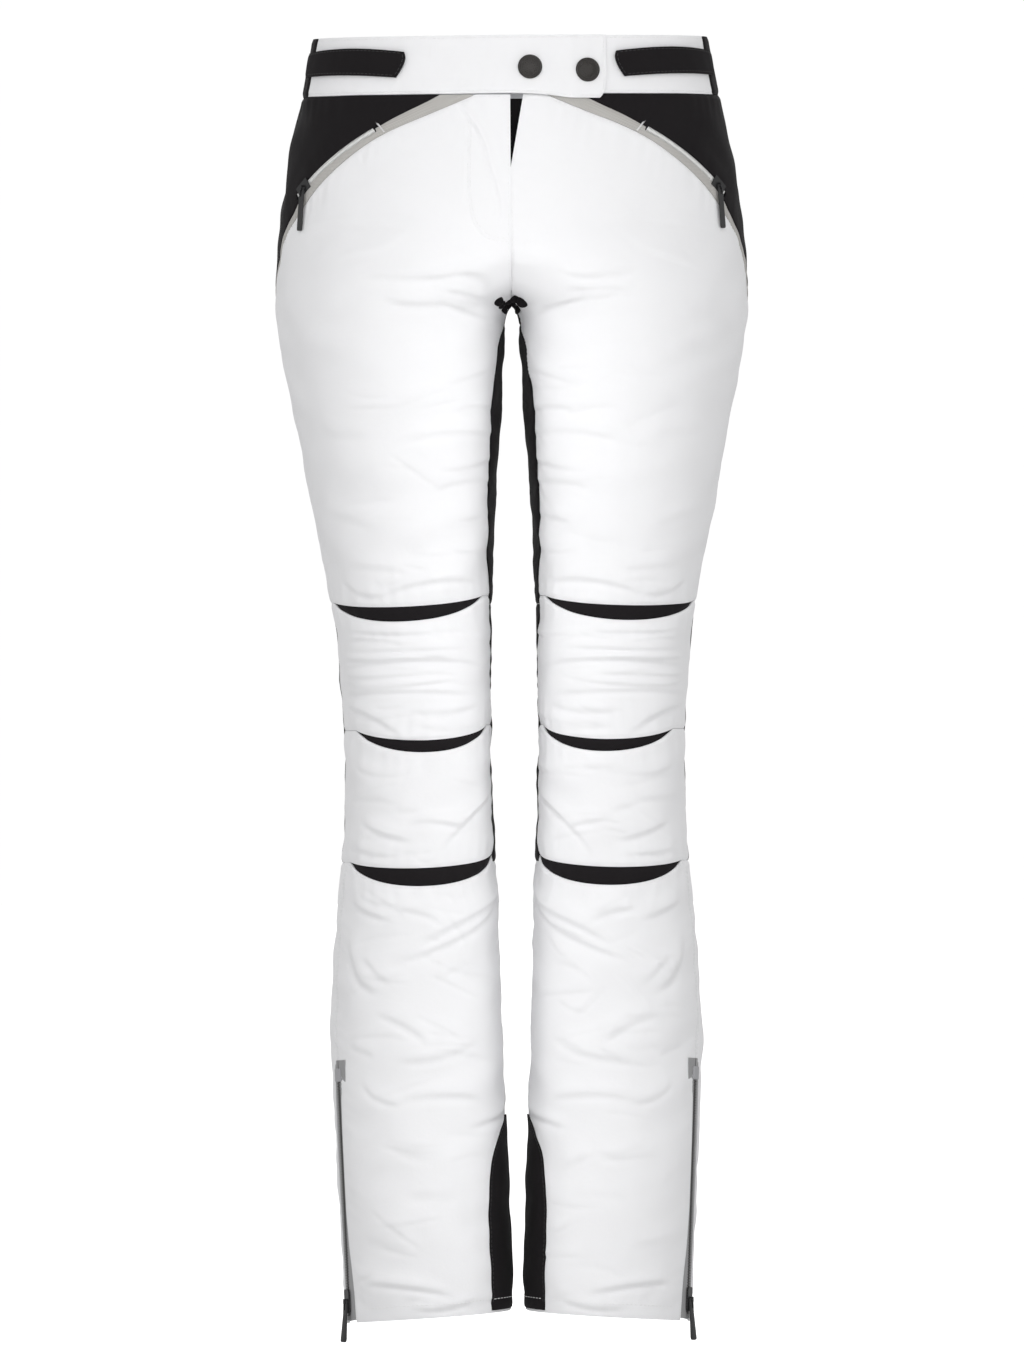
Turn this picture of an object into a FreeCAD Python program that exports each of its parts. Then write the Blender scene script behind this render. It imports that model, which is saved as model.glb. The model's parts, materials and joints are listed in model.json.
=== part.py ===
"""Women's insulated ski pants, built panel by panel.

Origin: centre of the waist opening, at the waistband's top edge. +Z is up, the front faces -Y, and +X is the
wearer's left. One leg tube is described by sections; each fabric panel is a patch of that tube between seam
lines, given as an angle round the leg (-90 front, 0 outer side, 90 back, 180 inner side) and a height.
"""
import FreeCAD
import Part
import math
import os

Vector = FreeCAD.Vector

# Driving dimensions: millimetres and degrees ------------------------------------------------------
BAND_HEIGHT = 46.0
FABRIC = 2.4
BAND_FABRIC = 3.0
SEAM = 0.2
CROTCH_Z = -206.0
KNEE_TOP_Z = -447.0
KNEE_BOTTOM_Z = -650.1
GUSSET_Z = -226.0
HEM_Z = -1009.0
HEM_TILT = 5.0
ROUNDNESS = 2.25

# Height, outer side, inner side, front and back of the wearer's left leg. Above the crotch the inner side
# lies across the middle plane, where the two halves meet.
SECTIONS = [
    (0, 156, -156, -100, 108),
    (-47, 165, -165, -106, 116),
    (-105, 177, -177, -111, 129),
    (-140, 182, -182, -112, 135),
    (-165, 184.5, -120, -112, 136),
    (-185, 185.5, -62, -110.5, 134),
    (-200, 186, -20, -109, 131),
    (-210, 186.3, 0.5, -108, 128),
    (-218, 186, 4.5, -107, 124),
    (-231, 185, 6.3, -105.5, 118),
    (-262, 179.5, 7.8, -102.5, 106),
    (-310, 170, 10, -97.5, 93),
    (-389, 155, 15.4, -88.5, 77),
    (-452, 143, 17.5, -81, 66),
    (-515, 136.3, 18.3, -75, 58),
    (-562, 134.2, 18.5, -71, 55),
    (-610, 134.3, 17, -66, 58),
    (-680, 140, 14.2, -63, 69),
    (-720, 143.6, 13.2, -63, 73),
    (-768, 146, 11.7, -65, 76),
    (-815, 147.5, 10.3, -67, 78),
    (-850, 146.8, 9.4, -69, 79.5),
    (-900, 144.6, 8, -72, 81),
    (-957, 141.5, 6.2, -76, 83),
    (-1020, 138.5, 4.5, -79.5, 85.5),
]


# Curves and the leg surface -------------------------------------------------------------------------
def smooth(points):
    """A monotone cubic curve through (x, y) points, flat beyond its ends, as a function."""
    points = sorted(points)
    xs = [p[0] for p in points]
    ys = [p[1] for p in points]
    count = len(xs)
    step = [xs[i + 1] - xs[i] for i in range(count - 1)]
    rise = [(ys[i + 1] - ys[i]) / step[i] for i in range(count - 1)]
    slope = [rise[0]] + [0.0] * (count - 2) + [rise[-1]]
    for i in range(1, count - 1):
        if rise[i - 1] * rise[i] > 0:
            w1 = 2 * step[i] + step[i - 1]
            w2 = step[i] + 2 * step[i - 1]
            slope[i] = (w1 + w2) / (w1 / rise[i - 1] + w2 / rise[i])

    def value(x):
        if x <= xs[0]:
            return ys[0]
        if x >= xs[-1]:
            return ys[-1]
        i = max(k for k in range(count - 1) if xs[k] <= x)
        t = (x - xs[i]) / step[i]
        start = ys[i] * (1 + 2 * t) * (1 - t) ** 2 + step[i] * slope[i] * t * (1 - t) ** 2
        return start + ys[i + 1] * t * t * (3 - 2 * t) + step[i] * slope[i + 1] * t * t * (t - 1)

    return value


OUTER, INNER, FRONT, BACK = [smooth([(row[0], row[k]) for row in SECTIONS]) for k in (1, 2, 3, 4)]


def on_leg(angle, z):
    """The point of the wearer's left leg tube at an angle and height."""
    cx, half_x = (OUTER(z) + INNER(z)) / 2, (OUTER(z) - INNER(z)) / 2
    cy, half_y = (FRONT(z) + BACK(z)) / 2, (BACK(z) - FRONT(z)) / 2
    c, s = math.cos(math.radians(angle)), math.sin(math.radians(angle))
    reach = (abs(c / half_x) ** ROUNDNESS + abs(s / half_y) ** ROUNDNESS) ** (-1 / ROUNDNESS)
    return Vector(cx + reach * c, cy + reach * s, z)


def outward(angle, z):
    """The outward normal of the leg tube."""
    around = on_leg(angle + 0.5, z) - on_leg(angle - 0.5, z)
    down = on_leg(angle, z - 1) - on_leg(angle, z + 1)
    return down.cross(around).normalize()


def skin(angle, z, depth=0.0):
    """A point that lies depth inside the leg surface (outside it where depth is negative)."""
    return on_leg(angle, z) - outward(angle, z) * depth


def angle_at(x, z, low, high):
    """The angle between low and high where the leg surface has this x."""
    rising = on_leg(high, z).x > on_leg(low, z).x
    for _ in range(40):
        middle = (low + high) / 2
        if (on_leg(middle, z).x < x) == rising:
            low = middle
        else:
            high = middle
    return (low + high) / 2


def front_angle(x, z):
    return angle_at(x, z, -180, 0)


def back_angle(x, z):
    return angle_at(x, z, 0, 180)


# Seam lines -----------------------------------------------------------------------------------------
BAND_SEAM_Z = -BAND_HEIGHT - 0.2
SIDE = -2.0
YOKE = 50.0
BACK_INNER = smooth([(-225, 165), (-365, 160), (-447, 168)])
FRONT_INNER = smooth([(-206, -168), (-228, -168), (-237, -160), (-246, -155.5), (-256, -155), (-278, -149),
                      (-294, -147.5), (-365, -148), (-412, -155), (-447, -160), (-505, -176), (-560, -176),
                      (-605, -168), (-650, -162), (-700, -172)])
# Lower edge of the black hip panel, and of the contrast strip below it, as heights over the angle.
HIP_LINE = smooth([(-62.4, BAND_SEAM_Z - 0.4), (-42.9, -70.9), (-22.9, -110.6), (-12.5, -152),
                   (0, -205), (15, -222), (50, -240), (90, -262), (130, -283), (165, -292)])
STRIP_LINE = smooth([(-76, BAND_SEAM_Z - 0.4), (-58.5, -62.4), (-43.7, -78.4), (-31.3, -102),
                     (-18, -140.5), (-8, -189), (0, -220)])
FLY_GAPE = 11.0
FLY_GAPE_END_Z = -108.0


def fly_edge_x(z):
    """How far the wearer's left front edge stands back from the middle, showing the shield."""
    return FLY_GAPE * max(0.0, (z - FLY_GAPE_END_Z) / (BAND_SEAM_Z - FLY_GAPE_END_Z))


def front_edge(z, x=0.0):
    """Front panel's inner edge: the middle of the body down to the crotch, then the inner leg seam."""
    if z <= CROTCH_Z - 12:
        return FRONT_INNER(z)
    return max(front_angle(x, z), FRONT_INNER(z))


def back_edge(z):
    """Back panel's inner edge: the middle of the seat down to the crotch, then the inner leg seam."""
    if z <= CROTCH_Z - 12:
        return BACK_INNER(z)
    return min(back_angle(0, z), BACK_INNER(z))


def inner_from_back(z):
    """The inner seam's angle as the panels behind it count it, past 180."""
    return 360 + FRONT_INNER(z)


def hem(angle):
    return HEM_Z - HEM_TILT * math.cos(math.radians(angle))


class Dart:
    """A crescent insert across the knee: its upper edge sags between its tips, its lower edge more.

    Its inner tip is higher than its middle by the tilt, and its outer tip as much lower.
    """

    def __init__(self, middle, reach, top_z, tip_rise, depth, tilt):
        self.middle = middle
        self.reach = reach
        self.top_z = top_z
        self.tip_rise = tip_rise
        self.depth = depth
        self.tilt = tilt

    def across(self, angle):
        return min(1.0, abs(angle - self.middle) / self.reach)

    def top(self, angle):
        inward = max(-1.0, min(1.0, (self.middle - angle) / self.reach))
        return self.top_z + self.tip_rise * self.across(angle) ** 2 + self.tilt * inward

    def bottom(self, angle):
        return self.top(angle) - self.depth * (1 - self.across(angle) ** 2.2)

    def solid(self):
        first, last = self.middle - 0.94 * self.reach, self.middle + 0.94 * self.reach
        return panel(flat(first), flat(last), self.top, self.bottom, 22, 3)


DARTS = [Dart(-84, 62, -449, 6, 11.5, 2.4), Dart(-97, 60, -554, 9.8, 9.5, 2.0),
         Dart(-96.5, 68, -654.5, 7.8, 14.2, 3.2)]


# Solids ---------------------------------------------------------------------------------------------
def solid_between(outer, inner):
    """A closed solid between two grids of points with the same rows and columns."""
    sheets = []
    for grid in (outer, inner):
        surface = Part.BSplineSurface()
        surface.interpolate(grid)
        sheets.append(surface)
    faces = [sheet.toShape() for sheet in sheets]
    u0, u1, v0, v1 = sheets[0].bounds()
    s0, s1, t0, t1 = sheets[1].bounds()
    pairs = [
        (sheets[0].uIso(u0), sheets[1].uIso(s0)),
        (sheets[0].uIso(u1), sheets[1].uIso(s1)),
        (sheets[0].vIso(v0), sheets[1].vIso(t0)),
        (sheets[0].vIso(v1), sheets[1].vIso(t1)),
    ]
    faces += [a.makeRuledSurface(b).toShape() for a, b in pairs]
    shell = Part.makeShell(faces)
    shell.sewShape()
    solid = Part.makeSolid(shell)
    if solid.Volume < 0:
        solid.reverse()
    return solid


def panel(left, right, top, bottom, columns, rows, depth=0.0, thickness=FABRIC, lift=None):
    """A fabric panel between two angle seams and two height seams, SEAM short of each of them."""
    outer, inner = [], []
    for r in range(rows):
        t = r / (rows - 1)
        ends = []
        for seam, inset in ((left, SEAM), (right, -SEAM)):
            angle = seam(top(-90.0))
            for _ in range(12):
                z = top(angle) + (bottom(angle) - top(angle)) * t
                middle = Vector((OUTER(z) + INNER(z)) / 2, (FRONT(z) + BACK(z)) / 2, z)
                radius = (on_leg(angle, z) - middle).Length
                angle = seam(z) + math.degrees(inset / radius)
            ends.append(angle)
        outer_row, inner_row = [], []
        for c in range(columns):
            angle = ends[0] + (ends[1] - ends[0]) * c / (columns - 1)
            high, low = top(angle) - SEAM, bottom(angle) + SEAM
            z = high + (low - high) * t
            extra = lift(angle) if lift else 0.0
            outer_row.append(skin(angle, z, depth - extra))
            inner_row.append(skin(angle, z, depth - extra + thickness))
        outer.append(outer_row)
        inner.append(inner_row)
    return solid_between(outer, inner)


def flat(value):
    """A seam that is the same all along."""
    return lambda _: value


def half(shape):
    """The part of a panel on the wearer's left, just short of the middle plane."""
    return shape.common(block(SEAM / 2, 300, -300, 300, -1100, 100))


def mirrored(shape):
    return shape.mirror(Vector(0, 0, 0), Vector(1, 0, 0))


def save(shape, node):
    shape.exportStep(os.path.join("parts", node + ".step"))


def save_pair(shape, node):
    """The wearer's left piece as modelled, and the right one mirrored."""
    save(shape, node + "_left")
    save(mirrored(shape), node + "_right")


def placed(shape, origin, x_axis, z_axis):
    """A shape modelled at the origin, moved so that its Z and X lie along these directions."""
    z_dir = Vector(z_axis).normalize()
    y_dir = z_dir.cross(Vector(x_axis)).normalize()
    x_dir = y_dir.cross(z_dir)
    matrix = FreeCAD.Matrix(
        x_dir.x, y_dir.x, z_dir.x, origin.x,
        x_dir.y, y_dir.y, z_dir.y, origin.y,
        x_dir.z, y_dir.z, z_dir.z, origin.z,
        0, 0, 0, 1)
    copy = shape.copy()
    copy.Placement = FreeCAD.Placement(matrix)
    return copy


def block(x0, x1, y0, y1, z0, z1):
    return Part.makeBox(x1 - x0, y1 - y0, z1 - z0, Vector(x0, y0, z0))


# Waist ----------------------------------------------------------------------------------------------
INSERT_FRONT = -11.0
INSERT_BACK = 42.0
TAB_ROOT_X = -6.0
TAB_END_X = 75.0
TAB_CLEARANCE = 0.6
TAB_BOTTOM = smooth([(-90, -BAND_HEIGHT), (-78, -BAND_HEIGHT - 1), (-66, -BAND_HEIGHT - 4)])
EDGE_LEVEL_Z = -20.0
ELASTIC_TOP_Z, ELASTIC_BOTTOM_Z = -8.0, -38.0
ELASTIC_DEPTH, ELASTIC_THICKNESS = 3.3, 1.4
SNAPS = [(15.4, -25.8), (60.0, -28.4)]
SNAP_RADIUS = 9.6
SNAP_HEIGHT = 2.4
SHANK_RADIUS = 3.0
STUD_RADIUS = 2.0
STUD_LENGTH = 1.6
SOCKET_RADIUS = 6.0
SOCKET_BORE = 2.9
STRAP_ROOT = -9.0
STRAP_END = -49.8
STRAP_GAP = 1.6
STRAP_THICKNESS = 2.0


def band_piece(left, right, columns, lift=None):
    return panel(flat(left), flat(right), flat(0.0), flat(-BAND_HEIGHT), columns, 4, 0.0, BAND_FABRIC, lift)


def tab_lift(angle):
    """How far the wearer's right waistband rises to meet the tab, over its last stretch."""
    middle = -90.0
    start = -60.0
    t = max(0.0, min(1.0, (start - angle) / (start - middle)))
    return (BAND_FABRIC + TAB_CLEARANCE) * t * t * (3 - 2 * t)


def snap_place(x, z, depth):
    angle = front_angle(x, z)
    return skin(angle, z, depth), outward(angle, z)


def snap_cap():
    """A domed cap, its shank through the tab, and the stud behind, along +Z from the tab's inner face."""
    top = BAND_FABRIC
    cap = Part.makeCylinder(SNAP_RADIUS, SNAP_HEIGHT, Vector(0, 0, top))
    rim = [edge for edge in cap.Edges if abs(edge.BoundBox.ZMin - top - SNAP_HEIGHT) < 0.01]
    cap = cap.makeFillet(0.9, rim)
    shank = Part.makeCylinder(SHANK_RADIUS, top, Vector(0, 0, 0))
    stud = Part.makeCone(STUD_RADIUS - 0.4, STUD_RADIUS, STUD_LENGTH, Vector(0, 0, -STUD_LENGTH))
    return cap.fuse(shank).fuse(stud)


def make_waist():
    save(band_piece(front_angle(0.6, EDGE_LEVEL_Z), INSERT_FRONT, 14).cut(snap_cutters(SOCKET_RADIUS + 0.1)),
         "waistband_front_left")
    right_edge = -180 - front_angle(TAB_ROOT_X, EDGE_LEVEL_Z)
    save(mirrored(band_piece(right_edge, INSERT_FRONT, 18, tab_lift)), "waistband_front_right")
    save_pair(band_piece(INSERT_FRONT, INSERT_BACK, 12), "waistband_side")
    save(band_piece(INSERT_BACK, 180 - INSERT_BACK, 16), "waistband_back")
    elastic = panel(flat(INSERT_FRONT + 3), flat(INSERT_BACK - 3), flat(ELASTIC_TOP_Z),
                    flat(ELASTIC_BOTTOM_Z), 10, 3, ELASTIC_DEPTH, ELASTIC_THICKNESS)
    save(Part.makeCompound([elastic, mirrored(elastic)]), "waist_elastics")
    root = front_angle(TAB_ROOT_X + 0.2, EDGE_LEVEL_Z)
    tab = panel(flat(root), tab_end, flat(-1.0), TAB_BOTTOM, 14, 5, -BAND_FABRIC - TAB_CLEARANCE,
                BAND_FABRIC)
    save(tab.cut(snap_cutters(SHANK_RADIUS + 0.05)), "waist_tab")
    report("tab hinge top", skin(root, -1, -BAND_FABRIC - TAB_CLEARANCE))
    report("tab hinge bottom", skin(root, -BAND_HEIGHT, -BAND_FABRIC - TAB_CLEARANCE))
    caps, sockets = [], []
    for x, z in SNAPS:
        point, normal = snap_place(x, z, -TAB_CLEARANCE - 0.1)
        caps.append(placed(snap_cap(), point, Vector(0, 0, 1), normal))
        point, normal = snap_place(x, z, BAND_FABRIC - 0.1)
        ring = Part.makeCylinder(SOCKET_RADIUS, BAND_FABRIC - 0.2, point, normal)
        sockets.append(ring.cut(Part.makeCylinder(SOCKET_BORE, 2 * BAND_FABRIC, point - normal, normal)))
    save(Part.makeCompound(caps), "snap_caps")
    save(Part.makeCompound(sockets), "snap_sockets")


def snap_cutters(radius):
    tools = []
    for x, z in SNAPS:
        point, normal = snap_place(x, z, 10)
        tools.append(Part.makeCylinder(radius, 20, point, normal))
    return Part.makeCompound(tools)


def tab_end(z):
    return front_angle(TAB_END_X, z)


def make_straps():
    def share(angle):
        return (angle - STRAP_ROOT) / (STRAP_END - STRAP_ROOT)

    def top(angle):
        return -12.4 + 3.2 * math.sin(math.pi * share(angle)) - 0.8 * share(angle)

    def bottom(angle):
        return -31.3 + 1.8 * math.sin(math.pi * share(angle)) - 2.5 * share(angle)

    depth = -STRAP_GAP - STRAP_THICKNESS
    strap = panel(flat(STRAP_END), flat(STRAP_ROOT), top, bottom, 12, 4, depth, STRAP_THICKNESS)
    save_pair(strap, "adjuster_strap")
    report("strap hinge top", skin(STRAP_ROOT, top(STRAP_ROOT), depth))
    report("strap hinge bottom", skin(STRAP_ROOT, bottom(STRAP_ROOT), depth))
    loop = panel(flat(STRAP_END + 4), flat(STRAP_ROOT - 12), lambda a: top(a) - 3, lambda a: bottom(a) + 3,
                 8, 3, -1.2, 1.1)
    save(Part.makeCompound([loop, mirrored(loop)]), "strap_loop_patches")


# Zips -----------------------------------------------------------------------------------------------
# In a zip's own frame X runs across it, Z up along it, and -Y points out of the garment.
TOOTH_INNER = 0.6
TOOTH_OUTER = 2.7
TOOTH_HALF_THICK = 1.2
TAPE_HALF_THICK = 0.4
SLIDER_HALF_WIDTH = 4.6
PLATE_NEAR = 1.5
PLATE_FAR = 2.4
POST_HALF = 0.4
LUG_HALF = 1.1
PIN_Y = -3.4
PIN_RADIUS = 0.8
LUG_BORE = 0.86
PULL_FRONT = -3.95
PULL_BACK = -2.7
ARM_INNER = 1.35
CHANNEL_HALF = 5.0
CHANNEL_DEEP = 4.0


def zip_halves(length, tape_outer, tape_head=0.0):
    """Two rows of teeth with their tapes, hanging down from the frame's origin."""
    solids = []
    for side in (-1, 1):
        inner, outer, edge = side * TOOTH_INNER, side * TOOTH_OUTER, side * tape_outer
        teeth = block(min(inner, outer), max(inner, outer), -TOOTH_HALF_THICK, TOOTH_HALF_THICK, -length, 0)
        near, far = sorted((outer, edge))
        tape = block(near, far, -TAPE_HALF_THICK, TAPE_HALF_THICK, -length, tape_head)
        solids.append(teeth.fuse(tape))
    return solids


def slider_plates(length):
    """The slider's two plates, joined by the post that runs between the rows of teeth."""
    half = length / 2
    outer = block(-SLIDER_HALF_WIDTH, SLIDER_HALF_WIDTH, -PLATE_FAR, -PLATE_NEAR, -half, half)
    inner = block(-SLIDER_HALF_WIDTH, SLIDER_HALF_WIDTH, PLATE_NEAR, PLATE_FAR, -half, half)
    corners = [edge for edge in outer.Edges if abs(edge.tangentAt(edge.FirstParameter).y) > 0.9]
    outer = outer.makeFillet(2.2, corners)
    corners = [edge for edge in inner.Edges if abs(edge.tangentAt(edge.FirstParameter).y) > 0.9]
    inner = inner.makeFillet(2.2, corners)
    post = block(-POST_HALF, POST_HALF, -PLATE_NEAR, PLATE_NEAR, half - 5, half - 1)
    return outer.fuse(inner).fuse(post)


def lug():
    """The ear on the slider that holds the pull's pin, which lies on the frame's X axis."""
    ear = block(-LUG_HALF, LUG_HALF, -1.6, -PLATE_FAR + 0.2 - PIN_Y, -2.0, 2.0)
    return ear.cut(Part.makeCylinder(LUG_BORE, 4, Vector(-2, 0, 0), Vector(1, 0, 0)))


def hanging(normal, lean):
    """The level direction across a pull, and the one up along it, leaning out of the garment."""
    level = Vector(0, 0, 1).cross(normal).normalize()
    up = Vector(0, 0, 1) - normal * math.tan(math.radians(lean))
    return level, (up - level * up.dot(level)).normalize()


def pull(half_width, length):
    """A tab that hangs from its pin, forked round the slider's ear. The pin lies on the frame's X axis."""
    arm_outer = max(half_width, ARM_INNER + 1.0)
    front, back = PULL_FRONT - PIN_Y, PULL_BACK - PIN_Y
    fork = 7.0
    body = block(-half_width, half_width, front, back, -length, -fork)
    ends = [edge for edge in body.Edges
            if abs(edge.tangentAt(edge.FirstParameter).y) > 0.9 and edge.BoundBox.ZMax < -length + 0.01]
    body = body.makeFillet(half_width * 0.6, ends)
    for side in (-1, 1):
        near, far = sorted((side * ARM_INNER, side * arm_outer))
        body = body.fuse(block(near, far, front, back, -fork, 0))
        knuckle = Part.makeCylinder(0.85, far - near, Vector(near, 0, 0), Vector(1, 0, 0))
        body = body.fuse(knuckle)
    pin = Part.makeCylinder(PIN_RADIUS, 2 * ARM_INNER + 0.4, Vector(-ARM_INNER - 0.2, 0, 0), Vector(1, 0, 0))
    return body.fuse(pin)


class Line:
    """A straight zip between two points of the garment, with a normal that points out of it."""

    def __init__(self, top, bottom, normal):
        self.top = top
        self.length = (top - bottom).Length
        self.up = (top - bottom).normalize()
        self.across = self.up.cross(normal).normalize()
        self.normal = self.across.cross(self.up)

    def put(self, shape, down=0.0, out=0.0):
        return placed(shape, self.top - self.up * down + self.normal * out, self.across, self.up)


class Arc:
    """A zip that bends round the body as an arc of a circle, from its upper to its lower end."""

    def __init__(self, top, middle, bottom, normal):
        a, b = middle - top, bottom - top
        cross = a.cross(b)
        square = cross.dot(cross)
        centre = (cross.cross(a) * b.dot(b) + b.cross(cross) * a.dot(a)) * (0.5 / square)
        self.centre = top + centre
        self.axis = Vector(cross).normalize()
        self.top = top
        self.radius = centre.Length
        self.turn = self.signed_angle(top, bottom)
        half_way = self.at(0.5, top)
        tangent = self.axis.cross(half_way - self.centre).normalize()
        self.middle_normal = (normal - tangent * normal.dot(tangent)).normalize()

    def signed_angle(self, start, end):
        a, b = start - self.centre, end - self.centre
        return math.degrees(math.atan2(a.cross(b).dot(self.axis), a.dot(b)))

    def rotate(self, vector, share):
        return FreeCAD.Rotation(self.axis, self.turn * share).multVec(vector)

    def at(self, share, start=None):
        return self.centre + self.rotate((start or self.top) - self.centre, share)

    def frame(self, share):
        """Point, across, up and normal directions at a share of the way down."""
        normal = self.rotate(self.middle_normal, share - 0.5)
        down = self.axis.cross(self.at(share) - self.centre).normalize()
        if self.turn < 0:
            down = down * -1
        up = down * -1
        across = up.cross(normal).normalize()
        return self.at(share), across, up, normal

    def sweep(self, half_width, out, deep, start=0.0, end=1.0, inner=None):
        """A rectangle swept along the arc: half_width either side, or from inner to half_width."""
        point, across, _, normal = self.frame(start)
        low = -half_width if inner is None else inner
        corners = [point + across * x + normal * y
                   for x, y in ((low, deep), (half_width, deep), (half_width, out), (low, out))]
        face = Part.Face(Part.makePolygon(corners + corners[:1]))
        return face.revolve(self.centre, self.axis, self.turn * (end - start))


POCKET_TOP = (-41.5, -74.0)
POCKET_MIDDLE = (-31.5, -91.5)
POCKET_BOTTOM = (-22.0, -112.5)
POCKET_SLIDER_AT = 1.13
POCKET_SLIDER_LENGTH = 15.0
POCKET_SLIDER_STOP = 0.12


def pocket_arc():
    top, middle, bottom = [skin(angle, z, 0.9) for angle, z in (POCKET_TOP, POCKET_MIDDLE, POCKET_BOTTOM)]
    return Arc(top, middle, bottom, outward(*POCKET_MIDDLE))


def arc_slider(arc, share, length):
    """A slider bent to the arc, so that it can travel along it."""
    half = length / 2 / (arc.radius * math.radians(abs(arc.turn)))
    outer = arc.sweep(SLIDER_HALF_WIDTH, PLATE_FAR, PLATE_NEAR, share - half, share + half)
    inner = arc.sweep(SLIDER_HALF_WIDTH, -PLATE_NEAR, -PLATE_FAR, share - half, share + half)
    post = arc.sweep(POST_HALF, PLATE_NEAR, -PLATE_NEAR, share - half * 0.9, share - half * 0.4)
    return outer.fuse(inner).fuse(post)


POCKET_PULL_HALF_WIDTH = 2.5
POCKET_PULL_LENGTH = 34.0
POCKET_PULL_LEAN = 5.0


def make_pocket_zips():
    arc = pocket_arc()
    rows = []
    for side in (-1, 1):
        inner, outer, edge = side * TOOTH_INNER, side * TOOTH_OUTER, side * (CHANNEL_HALF - 0.3)
        near, far = sorted((inner, outer))
        teeth = arc.sweep(far, TOOTH_HALF_THICK, -TOOTH_HALF_THICK, 0.0, 1.28, near)
        near, far = sorted((outer, edge))
        tape = arc.sweep(far, TAPE_HALF_THICK, -TAPE_HALF_THICK, 0.0, 1.28, near)
        rows.append(teeth.fuse(tape))
    stop = arc.sweep(CHANNEL_HALF - 0.3, TOOTH_HALF_THICK + 0.3, -TOOTH_HALF_THICK, -0.045, 0.0)
    save_pair(rows[0].fuse(rows[1]).fuse(stop), "pocket_zip")
    point, _, _, normal = arc.frame(POCKET_SLIDER_AT)
    level, hang = hanging(normal, POCKET_PULL_LEAN)
    pin = point + normal * -PIN_Y
    body = arc_slider(arc, POCKET_SLIDER_AT, POCKET_SLIDER_LENGTH)
    save_pair(body.fuse(placed(lug(), pin, level, hang)), "pocket_slider")
    save_pair(placed(pull(POCKET_PULL_HALF_WIDTH, POCKET_PULL_LENGTH), pin, level, hang), "pocket_pull")
    report("pocket slide centre", arc.centre)
    report("pocket slide axis", arc.axis * math.copysign(1.0, -arc.turn))
    print("pocket slide turn", round(abs(arc.turn) * (POCKET_SLIDER_AT - POCKET_SLIDER_STOP), 2))
    report("pocket pull pin", pin)
    report("pocket pull axis", level)


FLY_X = -14.0
FLY_TOP_Z = -56.0
FLY_BOTTOM_Z = -166.0
FLY_DEPTH = 10.0
SHIELD_DEPTH = 15.0
SHIELD_FABRIC = 1.8
SHIELD_HALF_WIDTH = 26.0
SHIELD_TOP_Z = -50.0
SHIELD_LENGTH = 128.0
FLY_SLIDER_DOWN = 6.5
FLY_SLIDER_LENGTH = 12.0


def front_point(x, z, depth):
    """A point behind the front surface, straight back from it; x may lie either side of the middle."""
    place = on_leg(front_angle(abs(x), z), z)
    return Vector(x, place.y + depth, z)


def make_fly():
    line = Line(front_point(FLY_X, FLY_TOP_Z, FLY_DEPTH), front_point(FLY_X, FLY_BOTTOM_Z, FLY_DEPTH),
                Vector(0, -1, 0))
    left, right = zip_halves(line.length, 11.0)
    stop = block(-2.7, 2.7, -1.2, 1.2, -line.length - 3, -line.length)
    save(line.put(left.fuse(right).fuse(stop)), "fly_zip")
    ear = line.put(lug(), FLY_SLIDER_DOWN, -PIN_Y)
    save(line.put(slider_plates(FLY_SLIDER_LENGTH), FLY_SLIDER_DOWN).fuse(ear), "fly_zip_slider")
    save(line.put(pull(2.4, 15.0), FLY_SLIDER_DOWN, -PIN_Y), "fly_zip_pull")
    rows, columns = 14, 8
    outer, inner = [], []
    for r in range(rows):
        z = SHIELD_TOP_Z - SHIELD_LENGTH * r / (rows - 1)
        xs = [SHIELD_HALF_WIDTH * (2 * c / (columns - 1) - 1) for c in range(columns)]
        outer.append([front_point(x, z, SHIELD_DEPTH) for x in xs])
        inner.append([front_point(x, z, SHIELD_DEPTH + SHIELD_FABRIC) for x in xs])
    save(solid_between(outer, inner), "fly_shield")
    report("fly slide axis down", line.up * -1)
    report("fly pull pin", line.top - line.up * FLY_SLIDER_DOWN + line.normal * -PIN_Y)
    report("fly pull axis", line.across)


LEG_ZIP_START_Z = -823.0
LEG_ZIP_END_Z = -1009.0
LEG_SLIDER_LENGTH = 19.0
LEG_SLIDER_FROM_END = 13.0
LEG_PULL_HALF_WIDTH = 3.2
LEG_PULL_LENGTH = 31.5
LEG_PULL_LEAN = 1.5
GARAGE_HEIGHT = 10.5


def make_leg_zips():
    middle_z = (LEG_ZIP_START_Z + LEG_ZIP_END_Z) / 2
    line = Line(skin(zip_angle(LEG_ZIP_START_Z), LEG_ZIP_START_Z, 0.8),
                skin(zip_angle(LEG_ZIP_END_Z), LEG_ZIP_END_Z, 0.8), outward(zip_angle(middle_z), middle_z))
    left, right = zip_halves(line.length, ZIP_HALF - 0.5, GARAGE_HEIGHT)
    garage = block(-5.3, 5.3, -1.7, 0.8, 0, GARAGE_HEIGHT)
    save_pair(line.put(left.fuse(right).fuse(garage)), "leg_zip")
    down = line.length - LEG_SLIDER_FROM_END
    level, hang = hanging(line.normal, LEG_PULL_LEAN)
    pin = line.top - line.up * down + line.normal * -PIN_Y
    body = line.put(slider_plates(LEG_SLIDER_LENGTH), down)
    save_pair(body.fuse(placed(lug(), pin, level, hang)), "leg_zip_slider")
    save_pair(placed(pull(LEG_PULL_HALF_WIDTH, LEG_PULL_LENGTH), pin, level, hang), "leg_zip_pull")
    report("leg slide axis up", line.up)
    print("leg slide travel", round(down - LEG_SLIDER_LENGTH / 2 - 1, 1))
    report("leg pull pin", pin)
    report("leg pull axis", level)


GAITER_DEPTH = 12.0
GAITER_TOP_Z = -878.0
GAITER_BOTTOM_Z = -986.0
GAITER_FABRIC = 1.6


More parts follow.
